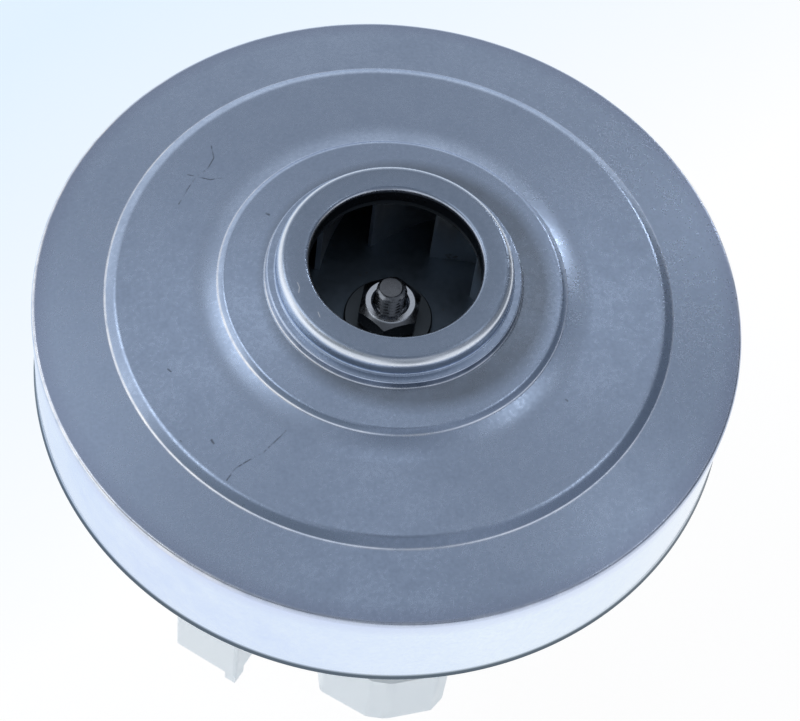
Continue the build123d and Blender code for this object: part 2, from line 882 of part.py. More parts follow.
# Brush gear, the same at both ends of the Y axis
for name, side in brush_sides.items():
    with BuildPart() as brush_tube:
        with BuildSketch(radial_plane(side, tube_start)):
            Rectangle(tube_w, tube_h)
            Rectangle(tube_w - 2 * tube_wall, tube_h - 2 * tube_wall, mode=Mode.SUBTRACT)
        extrude(amount=tube_end - tube_start)
        with BuildSketch(brush_plan_plane(side, brush_z + tube_h / 2 - tube_wall)):
            with Locations((0, tab_place)):
                Rectangle(tab_w, tab_t)
        extrude(amount=tab_top - brush_z - tube_h / 2 + tube_wall)
    brush_tube.part.label = f"{name}_brush_tube"
    export_step(brush_tube.part, f"parts/{name}_brush_tube.step")

    with BuildPart() as brush:
        with BuildSketch(radial_plane(side, 0)):
            Rectangle(brush_w, brush_h)
        extrude(amount=brush_outer)
        with BuildSketch():
            Circle(brush_inner)
        extrude(amount=2 * brush_z, mode=Mode.SUBTRACT)
    brush.part.label = f"{name}_brush"
    export_step(brush.part, f"parts/{name}_brush.step")

    with BuildPart() as brush_spring:
        with BuildSketch(radial_plane(side, brush_outer)):
            Circle(spring_r)
            Circle(spring_r - spring_wall, mode=Mode.SUBTRACT)
        extrude(amount=tube_end - brush_outer)
    brush_spring.part.label = f"{name}_brush_spring"
    export_step(brush_spring.part, f"parts/{name}_brush_spring.step")

    with BuildPart() as brush_hood:
        with BuildSketch(brush_plan_plane(side, hood_bottom)):
            with BuildLine():
                outline = FilletPolyline(
                    (-hood_half_w, hood_start),
                    (-hood_half_w, hood_end - hood_short_bevel),
                    (-hood_half_w + hood_short_bevel_w, hood_end - hood_nose_drop),
                    (0, hood_end),
                    (hood_nose_x, hood_end - hood_nose_drop),
                    (hood_half_w, hood_end - hood_long_bevel),
                    (hood_half_w, hood_start),
                    radius=hood_bends,
                )
                Line(outline @ 1, outline @ 0)
            make_face()
        extrude(amount=hood_top - hood_bottom)
        with BuildSketch(radial_plane(side, hood_start)):
            Rectangle(box_w, box_h)
        extrude(amount=box_end - hood_start, mode=Mode.SUBTRACT)
        with BuildSketch(radial_plane(side, box_end)):
            Rectangle(tube_w, tube_h)
        extrude(amount=tube_end - box_end, mode=Mode.SUBTRACT)
        with BuildSketch(brush_plan_plane(side, brush_z)):
            with Locations((0, tab_place)):
                Rectangle(hood_slot_w, hood_slot_l)
        extrude(amount=box_h, mode=Mode.SUBTRACT)
    brush_hood.part.label = f"{name}_brush_hood"
    export_step(brush_hood.part, f"parts/{name}_brush_hood.step")

# Terminal block with two blades in pockets that open to the rear
terminal_plane = Plane(
    origin=polar(terminal_shift, terminal_angle + 90) + Vector(0, 0, terminal_bottom),
    x_dir=polar(1, terminal_angle),
    z_dir=(0, 0, 1),
)
terminal_middle = (terminal_inner + terminal_outer) / 2
terminal_depth = terminal_outer - terminal_inner
foot_middle = (terminal_foot_inner + terminal_middle) / 2
leg_middle = (terminal_outer - terminal_leg_depth / 2, (terminal_w - terminal_leg_w) / 2)
pocket_w = (terminal_w - 3 * terminal_wall) / 2
pocket_places = [
    (terminal_middle, -(pocket_w + terminal_wall) / 2),
    (terminal_middle, (pocket_w + terminal_wall) / 2),
]
pocket_h = terminal_top - terminal_bottom - terminal_roof
with BuildPart() as terminal_block:
    with BuildSketch(terminal_plane):
        with Locations((terminal_middle, 0)):
            Rectangle(terminal_depth, terminal_w)
    extrude(amount=terminal_top - terminal_bottom)
    fillet(terminal_block.edges().filter_by(Axis.Z), terminal_corner_r)
    with BuildSketch(terminal_plane.offset(terminal_foot_z - terminal_bottom)):
        with Locations((foot_middle, terminal_foot_shift)):
            Rectangle(terminal_middle - terminal_foot_inner, terminal_foot_w)
    extrude(amount=core_bottom - former_t - terminal_foot_z)
    with BuildSketch(terminal_plane):
        with Locations(leg_middle):
            Rectangle(terminal_leg_depth, terminal_leg_w)
    extrude(amount=-terminal_leg)
    with BuildSketch(terminal_plane):
        with Locations(*pocket_places):
            Rectangle(terminal_depth - 2 * terminal_wall, pocket_w)
    extrude(amount=pocket_h, mode=Mode.SUBTRACT)
terminal_block.part.label = "terminal_block"
export_step(terminal_block.part, "parts/terminal_block.step")

with BuildPart() as terminal_blades:
    with BuildSketch(terminal_plane.offset(blade_bottom)):
        with Locations(*pocket_places):
            Rectangle(blade_t, blade_w)
    extrude(amount=pocket_h - blade_bottom)
terminal_blades.part.label = "terminal_blades"
export_step(terminal_blades.part, "parts/terminal_blades.step")
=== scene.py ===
import math
import random

import bmesh
import bpy
from mathutils import Matrix, Vector


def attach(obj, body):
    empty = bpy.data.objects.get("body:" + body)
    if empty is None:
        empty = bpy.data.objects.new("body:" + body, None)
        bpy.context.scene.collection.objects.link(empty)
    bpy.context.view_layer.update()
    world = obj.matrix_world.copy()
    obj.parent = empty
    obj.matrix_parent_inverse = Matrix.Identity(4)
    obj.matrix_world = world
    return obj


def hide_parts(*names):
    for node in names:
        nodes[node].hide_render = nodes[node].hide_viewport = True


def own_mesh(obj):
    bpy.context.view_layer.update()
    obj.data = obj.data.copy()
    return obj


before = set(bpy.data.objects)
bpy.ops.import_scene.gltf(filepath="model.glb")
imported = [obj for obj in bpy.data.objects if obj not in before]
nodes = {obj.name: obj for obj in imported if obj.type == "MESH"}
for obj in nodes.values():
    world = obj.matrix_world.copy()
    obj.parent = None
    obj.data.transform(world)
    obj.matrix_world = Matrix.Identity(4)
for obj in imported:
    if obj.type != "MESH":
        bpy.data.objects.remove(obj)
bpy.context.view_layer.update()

MM = 0.001
ROUND = 224

# Sizes in millimetres, on the frame's own axes
SHEET = 0.8
COVER_R = 67.5
COVER_LIP_R = 67.95
COVER_BOTTOM = 80.0
RIM_Z = 102.2
RIM_BAND_R = 53.8
DISH_R = 51.9
DISH_Z = 105.9
RING_R = 31.9
RING_Z = 109.5
COLLAR_FOOT_R = 24.1
COLLAR_FOOT_Z = 110.3
FLANGE_R = 23.9
FLANGE_Z = 112.2
COLLAR_R = 22.2
COLLAR_TOP = 116.2
INLET_LIP_Z = 112.4
INLET_R = 16.2
SHROUD_EYE_R = 16.4

SHAFT_R = 4.0
SHAFT_CORE_R = 5.0
SHAFT_BOTTOM = 1.6
SHAFT_TOP = 107.0
COMMUTATOR_TOP = 31.4
FRONT_BEARING_Z = 80.8
PLATE_Z = 94.6
PLATE_T = 1.0
IMPELLER_R = 54.0
THREAD_R = 3.0
THREAD_PITCH = 1.0
WASHER_R = 8.5
WASHER_T = 1.4
NUT_FLATS = 11.0
NUT_H = 5.2
NUT_TURN = 12.0

COIL_INNER_R = 26.1
COIL_OUTER_R = 32.5
COIL_ANGLE = 45.0
COIL_WINDOW = 27.2
COIL_BOTTOM = 35.5
COIL_TOP = 78.5
WIRE_D = 0.62

ARMATURE_BOTTOM = 42.0
ARMATURE_TOP = 72.0
SLOTS = 22

BRUSH_Z = 21.0
BRUSH_OUTER = 35.6
SPRING_END = 44.4
SPRING_R = 2.7
SPRING_WIRE_R = 0.25
SPRING_TURNS = 9


def principled(name, colour, metallic=0.0, roughness=0.5, **sockets):
    """New material whose shader has these constants; returns the material, its node tree and its shader."""
    material = bpy.data.materials.new(name)
    material.use_nodes = True
    tree = material.node_tree
    shader = tree.nodes["Principled BSDF"]
    shader.inputs["Base Color"].default_value = (*colour, 1)
    shader.inputs["Metallic"].default_value = metallic
    shader.inputs["Roughness"].default_value = roughness
    for socket, value in sockets.items():
        shader.inputs[socket.replace("_", " ")].default_value = value
    return material, tree, shader


def node(tree, kind, **values):
    """Adds a node; keyword names are its properties or, where it has none, its input sockets."""
    made = tree.nodes.new(kind)
    for key, value in values.items():
        if hasattr(made, key):
            setattr(made, key, value)
        else:
            made.inputs[key.replace("_", " ")].default_value = value
    return made


def noise(tree, scale, detail=3.0, roughness=0.55, stretch=None):
    """Noise on the object's own coordinates, scale in cells per metre; returns its factor socket."""
    place = node(tree, "ShaderNodeTexCoord").outputs["Object"]
    if stretch:
        shift = node(tree, "ShaderNodeMapping")
        shift.inputs["Scale"].default_value = stretch
        tree.links.new(place, shift.inputs["Vector"])
        place = shift.outputs["Vector"]
    pattern = node(tree, "ShaderNodeTexNoise", Scale=scale, Detail=detail, Roughness=roughness)
    tree.links.new(place, pattern.inputs["Vector"])
    return pattern.outputs["Fac"]


def remap(tree, value, low, high, to_low, to_high):
    """Maps a value's range onto another, clamped."""
    mapped = node(tree, "ShaderNodeMapRange")
    for key, number in (("From Min", low), ("From Max", high), ("To Min", to_low), ("To Max", to_high)):
        mapped.inputs[key].default_value = number
    tree.links.new(value, mapped.inputs["Value"])
    return mapped.outputs["Result"]


def maths(tree, operation, first, second):
    """One arithmetic node; either operand is a socket or a number."""
    made = node(tree, "ShaderNodeMath", operation=operation)
    for place, operand in enumerate((first, second)):
        if isinstance(operand, (int, float)):
            made.inputs[place].default_value = operand
        else:
            tree.links.new(operand, made.inputs[place])
    return made.outputs[0]


def mix_colour(tree, factor, first, second):
    """Colour mix; each colour is a socket or a triple."""
    made = node(tree, "ShaderNodeMix", data_type="RGBA")
    tree.links.new(factor, made.inputs["Factor"])
    for place, colour in ((6, first), (7, second)):
        if isinstance(colour, tuple):
            made.inputs[place].default_value = (*colour, 1)
        else:
            tree.links.new(colour, made.inputs[place])
    return made.outputs[2]


def bump(tree, shader, height, distance, strength=1.0):
    """Bump on top of whatever normal the shader has already."""
    made = node(tree, "ShaderNodeBump", Strength=strength, Distance=distance * MM)
    tree.links.new(height, made.inputs["Height"])
    before = shader.inputs["Normal"]
    if before.is_linked:
        tree.links.new(before.links[0].from_socket, made.inputs["Normal"])
    tree.links.new(made.outputs["Normal"], before)


def scratch_mask(tree, place, strokes):
    """1 on the strokes and 0 elsewhere; a stroke is a list of (x, y) in millimetres and its half width."""
    nearest = None
    for points, half_width in strokes:
        for start, end in zip(points, points[1:]):
            a, b = Vector((*start, 0)) * MM, Vector((*end, 0)) * MM
            away = node(tree, "ShaderNodeVectorMath", operation="SUBTRACT")
            tree.links.new(place, away.inputs[0])
            away.inputs[1].default_value = a
            along = node(tree, "ShaderNodeVectorMath", operation="DOT_PRODUCT")
            tree.links.new(away.outputs[0], along.inputs[0])
            along.inputs[1].default_value = (b - a) / (b - a).length_squared
            share = remap(tree, along.outputs["Value"], 0, 1, 0, 1)
            foot = node(tree, "ShaderNodeVectorMath", operation="SCALE")
            foot.inputs[0].default_value = b - a
            tree.links.new(share, foot.inputs["Scale"])
            gap = node(tree, "ShaderNodeVectorMath", operation="DISTANCE")
            tree.links.new(away.outputs[0], gap.inputs[0])
            tree.links.new(foot.outputs[0], gap.inputs[1])
            ratio = maths(tree, "DIVIDE", gap.outputs["Value"], half_width * MM)
            nearest = ratio if nearest is None else maths(tree, "MINIMUM", nearest, ratio)
    return remap(tree, nearest, 0.4, 1.0, 1, 0)


def add_piece(name, mesh, material, body, replaced=(), sharp=35):
    """Makes a mesh a piece of the object: material, shading, body and the CAD nodes it stands for."""
    mesh.materials.append(material)
    mesh.validate()
    mesh.shade_smooth()
    mesh.set_sharp_from_angle(angle=math.radians(sharp))
    piece = bpy.data.objects.new(name, mesh)
    bpy.context.scene.collection.objects.link(piece)
    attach(piece, body)
    if replaced:
        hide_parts(*replaced)
    return piece


def mesh_of(name, points, faces):
    """Mesh from points in millimetres, cleaned of doubles, its normals outwards."""
    mesh = bpy.data.meshes.new(name)
    mesh.from_pydata([tuple(c * MM for c in point) for point in points], [], faces)
    form = bmesh.new()
    form.from_mesh(mesh)
    bmesh.ops.remove_doubles(form, verts=form.verts, dist=1e-6)
    bmesh.ops.recalc_face_normals(form, faces=form.faces)
    form.to_mesh(mesh)
    form.free()
    return mesh


def join_shapes(*shapes):
    """One list of points and one of faces from several such pairs."""
    points, faces = [], []
    for more_points, more_faces in shapes:
        start = len(points)
        points += list(more_points)
        faces += [[start + index for index in face] for face in more_faces]
    return points, faces


def offset_corners(corners, distance):
    """Moves an open outline to its right by a distance, with mitred corners."""
    places = [Vector(corner) for corner in corners]
    sides = []
    for start, end in zip(places, places[1:]):
        along = (end - start).normalized()
        sides.append(Vector((along.y, -along.x)))
    moved = [places[0] + sides[0] * distance]
    for place, before, after in zip(places[1:-1], sides, sides[1:]):
        middle = before + after
        moved.append(place + middle * (2 * distance / middle.length_squared))
    moved.append(places[-1] + sides[-1] * distance)
    return moved


def rounded(corners, radii, step=7.0):
    """Open outline with an arc of each radius at its inner corners, a point every few degrees."""
    places = [Vector(corner) for corner in corners]
    line = [places[0]]
    for before, corner, after, radius in zip(places, places[1:], places[2:], radii):
        to_before, to_after = (before - corner).normalized(), (after - corner).normalized()
        half = to_before.angle(to_after) / 2
        if radius <= 0 or half > math.radians(89.9):
            line.append(corner)
            continue
        centre = corner + (to_before + to_after).normalized() * (radius / math.sin(half))
        reach = radius / math.tan(half)
        start, end = corner + to_before * reach - centre, corner + to_after * reach - centre
        turn = start.angle_signed(end)
        count = max(2, math.ceil(abs(math.degrees(turn)) / step))
        for index in range(count + 1):
            angle = math.atan2(start.y, start.x) - turn * index / count
            line.append(centre + Vector((math.cos(angle), math.sin(angle))) * radius)
    line.append(places[-1])
    return line


def sheet_profile(corners, radii, thickness):
    """Closed section of bent sheet: an outer line and the same line moved to its right."""
    places = [Vector(corner) for corner in corners]
    inner_radii = []
    for before, corner, after, radius in zip(places, places[1:], places[2:], radii):
        turn = (corner - before).angle_signed(after - corner)
        inner_radii.append(max(radius - thickness, 0.08) if turn > 0 else radius + thickness)
    outer = rounded(corners, radii)
    inner = rounded(offset_corners(corners, thickness), inner_radii)
    return outer + inner[::-1]


def revolved(profile, count=ROUND, closed=True):
    """Points and faces of a profile of (radius, height) turned round the shaft axis."""
    points, faces = [], []
    size = len(profile)
    for index in range(count):
        angle = 2 * math.pi * index / count
        points += [(r * math.cos(angle), r * math.sin(angle), z) for r, z in profile]
    for index in range(count):
        here, there = index * size, (index + 1) % count * size
        for step in range(size if closed else size - 1):
            after = (step + 1) % size
            faces.append((here + step, there + step, there + after, here + after))
    return points, faces


def ring_profile(inner, outer, bottom, top, edge=0.2):
    """Closed section of a ring with small bevels on its four edges."""
    return [
        (inner, bottom + edge), (inner + edge, bottom), (outer - edge, bottom), (outer, bottom + edge),
        (outer, top - edge), (outer - edge, top), (inner + edge, top), (inner, top - edge),
    ]


def swept(path, radius, sides=6, closed=False, start_side=None):
    """Points and faces of a round bar along a path in millimetres."""
    line = [Vector(point) for point in path]
    count = len(line)
    points, faces = [], []
    side = Vector(start_side) if start_side else Vector((0.3, 0.2, 1))
    for index, place in enumerate(line):
        if closed:
            along = line[(index + 1) % count] - line[index - 1]
        else:
            along = line[min(index + 1, count - 1)] - line[max(index - 1, 0)]
        along.normalize()
        side = side - along * side.dot(along)
        if side.length < 1e-6:
            side = along.orthogonal()
        side.normalize()
        up = along.cross(side)
        for corner in range(sides):
            angle = 2 * math.pi * corner / sides
            points.append(place + side * (radius * math.cos(angle)) + up * (radius * math.sin(angle)))
    for index in range(count if closed else count - 1):
        here, there = index * sides, (index + 1) % count * sides
        for corner in range(sides):
            after = (corner + 1) % sides
            faces.append((here + corner, here + after, there + after, there + corner))
    if not closed:
        faces.append(tuple(range(sides))[::-1])
        faces.append(tuple((count - 1) * sides + corner for corner in range(sides)))
    return points, faces


def polar(radius, degrees, height=0.0):
    """Point in millimetres from a radius, an angle and a height."""
    angle = math.radians(degrees)
    return Vector((radius * math.cos(angle), radius * math.sin(angle), height))


def threaded(radius, pitch, bottom, top, core, per_turn=48):
    """Points and faces of a right-hand screw thread between two heights, closed at both ends."""
    rows = max(2, math.ceil((top - bottom) / pitch * 8))
    depth = 0.61 * pitch
    points, faces = [], []
    for row in range(rows + 1):
        z = bottom + (top - bottom) * row / rows
        fade = min(1, (top - z) / (0.9 * pitch))
        for step in range(per_turn):
            turn = step / per_turn
            phase = (z / pitch - turn) % 1.0
            ridge = 1 - min(1, abs(phase - 0.5) / 0.42)
            r = min(core + depth * ridge, radius) - (1 - fade) * 0.55
            angle = 2 * math.pi * turn
            points.append((r * math.cos(angle), r * math.sin(angle), z))
    for row in range(rows):
        for step in range(per_turn):
            after = (step + 1) % per_turn
            low, high = row * per_turn, (row + 1) * per_turn
            faces.append((low + step, low + after, high + after, high + step))
    faces.append(tuple(range(per_turn))[::-1])
    faces.append(tuple(rows * per_turn + step for step in range(per_turn)))
    return points, faces


def ring_of(radius_at, heights, count):
    """Points and faces of a form whose radius depends on the angle, one row for each height."""
    points, faces = [], []
    for row, height in enumerate(heights):
        for step in range(count):
            angle = 2 * math.pi * step / count
            r, z = radius_at(row, angle, height)
            points.append((r * math.cos(angle), r * math.sin(angle), z))
    for row in range(len(heights) - 1):
        for step in range(count):
            after = (step + 1) % count
            low, high = row * count, (row + 1) * count
            faces.append((low + step, low + after, high + after, high + step))
    return points, faces


def hexagon(flats, angle, turn):
    """Radius of a hexagon at an angle."""
    local = (angle - math.radians(turn) + math.pi / 6) % (math.pi / 3) - math.pi / 6
    return flats / 2 / math.cos(math.pi / 6 - abs(local))


def hex_body(flats, bottom, top, ring, bore, sink, turn=0.0, count=180):
    """Nut or hexagon head with rounded-off corners; the bore may be 0."""
    slope = math.tan(math.radians(30))

    def place(row, angle, height):
        r = hexagon(flats, angle, turn)
        drop = max(0, r - ring) * slope
        rows = (
            (max(bore, 0.001), bottom + sink), (bore + sink, bottom), (ring, bottom), (r, bottom + drop),
            (r, top - drop), (ring, top), (bore + sink, top), (max(bore, 0.001), top - sink),
        )
        return rows[row]

    points, faces = ring_of(place, range(8), count)
    if bore:
        for step in range(count):
            after = (step + 1) % count
            faces.append((7 * count + step, 7 * count + after, after, step))
    return points, faces


def turned(shape, degrees, shift):
    """A copy of points and faces, turned round the upright axis and then moved."""
    points, faces = shape
    move = Matrix.Translation(Vector(shift)) @ Matrix.Rotation(math.radians(degrees), 4, "Z")
    return [move @ Vector(point) for point in points], faces


# Materials
def pale_plastic():
    """Pale moulding, a little milky, with a faint cool painted glow that lightens it where it sits in shade."""
    material, tree, shader = principled("pale_plastic", (0.91, 0.96, 0.99), 0, 0.42, Specular_IOR_Level=0.45)
    # Painted light: the emission makes the moulding glow faintly
    shader.inputs["Emission Color"].default_value = (0.80, 0.92, 1.0, 1)
    shader.inputs["Emission Strength"].default_value = 0.17
    cloud = remap(tree, noise(tree, 45, 4), 0.3, 0.7, 0, 1)
    colour = mix_colour(tree, cloud, (0.90, 0.95, 0.985), (0.93, 0.975, 1.0))
    specks = remap(tree, noise(tree, 900, 2), 0.70, 0.78, 0, 0.35)
    colour = mix_colour(tree, specks, colour, (0.60, 0.62, 0.62))
    tree.links.new(colour, shader.inputs["Base Color"])
    tree.links.new(remap(tree, noise(tree, 220, 3), 0.3, 0.7, 0.36, 0.50), shader.inputs["Roughness"])
    bump(tree, shader, noise(tree, 1600, 2), 0.03, 0.5)
    bump(tree, shader, noise(tree, 60, 2), 0.25, 0.25)
    return material


def plain_plastic(name, dark, light, roughness=0.5):
    """Moulded plastic that changes slightly in colour and gloss over its surface."""
    material, tree, shader = principled(name, light, 0, roughness)
    colour = mix_colour(tree, remap(tree, noise(tree, 80, 4), 0.3, 0.7, 0, 1), dark, light)
    tree.links.new(colour, shader.inputs["Base Color"])
    rough = remap(tree, noise(tree, 300, 3), 0.3, 0.7, roughness - 0.07, roughness + 0.08)
    tree.links.new(rough, shader.inputs["Roughness"])
    bump(tree, shader, noise(tree, 1800, 2), 0.03, 0.5)
    return material


def metal(name, dark, light, roughness, grain=900, stretch=None, lines=0.02, spots=None,
          painted_shade_above=0, painted_shade_past=0):
    """Metal with a fine grain and a slow change of tone; if asked, darker spots, and painted shade on its top or on
    its outer part.
    """
    material, tree, shader = principled(name, light, 1, roughness)
    slow = remap(tree, noise(tree, 70, 5), 0.28, 0.72, 0, 1)
    fine = noise(tree, grain, 3, 0.6, stretch)
    factor = maths(tree, "ADD", maths(tree, "MULTIPLY", slow, 0.6), remap(tree, fine, 0.25, 0.75, 0, 0.4))
    colour = mix_colour(tree, factor, dark, light)
    if spots:
        mask = remap(tree, noise(tree, 420, 2), 0.68, 0.76, 0, 0.7)
        colour = mix_colour(tree, mask, colour, spots)
    parts = node(tree, "ShaderNodeSeparateXYZ")
    tree.links.new(node(tree, "ShaderNodeTexCoord").outputs["Object"], parts.inputs[0])
    # Painted shade: near-black above this height, where the part sits in shade
    if painted_shade_above:
        mask = remap(tree, parts.outputs["Z"], (painted_shade_above - 0.8) * MM, painted_shade_above * MM, 0, 0.9)
        colour = mix_colour(tree, mask, colour, (0.008, 0.009, 0.010))
    # Painted shade: near-black beyond this radius, on the chamfer and flats that sit in shade
    if painted_shade_past:
        squares = maths(tree, "ADD", maths(tree, "POWER", parts.outputs["X"], 2.0),
                        maths(tree, "POWER", parts.outputs["Y"], 2.0))
        mask = remap(tree, maths(tree, "SQRT", squares, 0.0), painted_shade_past * MM, (painted_shade_past + 0.25) * MM, 0, 0.8)
        colour = mix_colour(tree, mask, colour, (0.05, 0.055, 0.062))
    tree.links.new(colour, shader.inputs["Base Color"])
    tree.links.new(remap(tree, fine, 0.25, 0.75, roughness - 0.06, roughness + 0.08), shader.inputs["Roughness"])
    bump(tree, shader, fine, lines, 0.6)
    return material


def cover_metal():
    """Zinc coated drawn sheet: speckled satin top, burnished wall with a colour painted paler as reflection of the
    white floor, rubbed edges with painted highlight lines, a painted collar shadow and collar highlight, painted
    shade in the inlet and along the wall's foot, a few scratches.
    """
    material, tree, shader = principled("cover_metal", (0.47, 0.55, 0.68), 1, 0.36)
    place = node(tree, "ShaderNodeTexCoord").outputs["Object"]
    parts = node(tree, "ShaderNodeSeparateXYZ")
    tree.links.new(place, parts.inputs[0])
    flat = node(tree, "ShaderNodeCombineXYZ")
    tree.links.new(parts.outputs["X"], flat.inputs["X"])
    tree.links.new(parts.outputs["Y"], flat.inputs["Y"])
    out = node(tree, "ShaderNodeVectorMath", operation="LENGTH")
    tree.links.new(flat.outputs[0], out.inputs[0])
    radius, height = out.outputs["Value"], parts.outputs["Z"]

    wall = maths(tree, "MULTIPLY", remap(tree, height, 102.1 * MM, 100.9 * MM, 0, 1),
                 remap(tree, radius, 66.0 * MM, 66.6 * MM, 0, 1))
    collar = maths(tree, "MULTIPLY", remap(tree, height, 115.0 * MM, 116.1 * MM, 0, 1),
                   remap(tree, radius, 24 * MM, 23 * MM, 0, 1))
    slow = remap(tree, noise(tree, 55, 5, 0.62), 0.30, 0.70, 0, 1)
    cloud = remap(tree, noise(tree, 210, 4, 0.6), 0.30, 0.70, 0, 1)
    speck = remap(tree, noise(tree, 1250, 2.5, 0.55), 0.32, 0.68, 0, 1)
    tone = maths(tree, "ADD", maths(tree, "MULTIPLY", slow, 0.30), maths(tree, "MULTIPLY", cloud, 0.28))
    tone = maths(tree, "ADD", tone, maths(tree, "MULTIPLY", speck, 0.42))
    top = mix_colour(tree, tone, (0.335, 0.42, 0.575), (0.475, 0.58, 0.765))
    # Partly burnished finish, partly painted reflection: the wall's colour is far paler than the top's and stands for
    # the white floor it mirrors
    side = mix_colour(tree, tone, (0.71, 0.815, 0.97), (0.81, 0.905, 1.0))
    across = maths(tree, "DIVIDE", parts.outputs["X"], radius)
    # Darker blue streaks over the left part of the wall
    left_wall_streaks = maths(tree, "MULTIPLY", remap(tree, across, 0.15, -0.55, 0, 1),
                   remap(tree, noise(tree, 110, 5, 0.62), 0.34, 0.66, 0.3, 0.7))
    side = mix_colour(tree, left_wall_streaks, side, (0.57, 0.69, 0.95))
    side = mix_colour(tree, remap(tree, height, 97.5 * MM, 101.2 * MM, 0, 0.55), side, (0.56, 0.63, 0.88))
    top = mix_colour(tree, remap(tree, radius, 63.5 * MM, 67 * MM, 0, 0.4), top, (0.27, 0.31, 0.46))
    ring = mix_colour(tree, tone, (0.255, 0.32, 0.43), (0.345, 0.42, 0.55))
    neck = maths(tree, "MULTIPLY", remap(tree, height, 112.6 * MM, 112.9 * MM, 0, 1),
                 remap(tree, height, 115.6 * MM, 115.2 * MM, 0, 1))
    neck = maths(tree, "MULTIPLY", neck, remap(tree, radius, 21.9 * MM, 22.1 * MM, 0, 1))
    colour = mix_colour(tree, wall, mix_colour(tree, collar, top, ring), side)
    colour = mix_colour(tree, neck, colour, mix_colour(tree, tone, (0.36, 0.40, 0.45), (0.46, 0.50, 0.55)))
    # Painted highlight: a pale band round the upper outer side of the collar
    collar_painted_highlight = maths(tree, "MULTIPLY", remap(tree, height, 113.9 * MM, 114.7 * MM, 0, 0.9),
                 remap(tree, height, 116.1 * MM, 115.9 * MM, 0, 1))
    collar_painted_highlight = maths(tree, "MULTIPLY", collar_painted_highlight, remap(tree, radius, 20.9 * MM, 21.3 * MM, 0, 1))
    colour = mix_colour(tree, collar_painted_highlight, colour, (0.82, 0.88, 0.97))

    # Painted shadow of the collar on the ring where it meets the flange, widest on one side
    aside = node(tree, "ShaderNodeVectorMath", operation="DISTANCE")
    tree.links.new(flat.outputs[0], aside.inputs[0])
    aside.inputs[1].default_value = (2.6 * MM, -1.0 * MM, 0)
    collar_painted_shadow = maths(tree, "MULTIPLY", remap(tree, aside.outputs["Value"], 28.6 * MM, 25.6 * MM, 0, 0.66),
                 remap(tree, height, 112.0 * MM, 111.6 * MM, 0, 1))
    collar_painted_shadow = maths(tree, "MULTIPLY", collar_painted_shadow, remap(tree, cloud, 0, 1, 0.75, 1))
    colour = mix_colour(tree, collar_painted_shadow, colour, (0.13, 0.145, 0.16))

    scored = scratch_mask(tree, flat.outputs[0], [
        ([(-30.7, 35.63), (-30.5, 32.62), (-31.96, 30.06), (-34.27, 28.46), (-36.22, 25.66), (-38.18, 22.31)], 0.17),
        ([(-35.9, 29.17), (-34.27, 28.46), (-31.74, 27.37), (-29.32, 27.5)], 0.17),
        ([(-34.94, -37.6), (-33.21, -35.51), (-31.12, -34.41), (-27.85, -32.95), (-23.46, -29.24)], 0.17),
        ([(-36.9, -29.4), (-36.6, -30.1)], 0.28),
        ([(-42.4, -28.8), (-42.0, -29.2)], 0.2),
        ([(-43.4, -14.0), (-42.9, -14.6)], 0.2),
        ([(-22.1, 16.6), (-21.7, 16.2)], 0.3),
        ([(28.6, -27.0), (28.9, -27.3)], 0.22),
    ])
    broken = remap(tree, noise(tree, 700, 3), 0.38, 0.56, 0.05, 0.75)
    colour = mix_colour(tree, maths(tree, "MULTIPLY", scored, broken), colour, (0.10, 0.12, 0.16))
    shiny = scratch_mask(tree, flat.outputs[0], [
        ([(-18.83, -3.39), (-18.6, -4.4), (-18.84, -5.57)], 0.10),
        ([(-15.84, -10.04), (-15.6, -11.13)], 0.10),
    ])
    colour = mix_colour(tree, maths(tree, "MULTIPLY", shiny, 0.7), colour, (0.93, 0.96, 1.0))
    # Lighter lines along the bends: rubbed wear on the convex edges, painted highlight lines along the creases
    edge_wear_and_sheen = None
    for edge, reach in ((INLET_R + 0.1, 0.35), (24.05, 0.3), (32.9, 0.25), (RIM_BAND_R, 0.3), (COVER_R - 0.3, 0.5)):
        near = remap(tree, maths(tree, "ABSOLUTE", maths(tree, "SUBTRACT", radius, edge * MM), 0),
                     0, reach * MM, 1, 0)
        edge_wear_and_sheen = near if edge_wear_and_sheen is None else maths(tree, "MAXIMUM", edge_wear_and_sheen, near)
    edge_wear_and_sheen = maths(tree, "MULTIPLY", edge_wear_and_sheen, remap(tree, noise(tree, 260, 3), 0.35, 0.65, 0.4, 0.9))
    edge_wear_and_sheen = maths(tree, "MULTIPLY", edge_wear_and_sheen, remap(tree, height, 101.0 * MM, 101.6 * MM, 0, 1))
    colour = mix_colour(tree, edge_wear_and_sheen, colour, (0.74, 0.80, 0.92))
    # Painted highlight: the edge lines turn near-white on the left side only
    aside_left = remap(tree, across, -0.45, -0.75, 0, 1)
    left_edge_painted_highlight = maths(tree, "MULTIPLY", maths(tree, "MULTIPLY", edge_wear_and_sheen, aside_left), 1.2)
    colour = mix_colour(tree, left_edge_painted_highlight, colour, (0.97, 0.98, 1.0))
    # Painted shade: a dark band along the bottom of the wall and its flared lip
    foot = remap(tree, height, 81.2 * MM, 80.6 * MM, 0, 0.92)
    colour = mix_colour(tree, maths(tree, "MULTIPLY", foot, remap(tree, radius, 66 * MM, 67 * MM, 0, 1)),
                        colour, (0.05, 0.075, 0.10))
    # Painted shade: the inside of the inlet turns near-black below its top
    inlet_painted_shade = maths(tree, "MULTIPLY", remap(tree, radius, 17.4 * MM, 17.2 * MM, 0, 1),
                   remap(tree, height, 115.6 * MM, 114.9 * MM, 0, 0.95))
    colour = mix_colour(tree, inlet_painted_shade, colour, (0.02, 0.022, 0.026))
    tree.links.new(colour, shader.inputs["Base Color"])

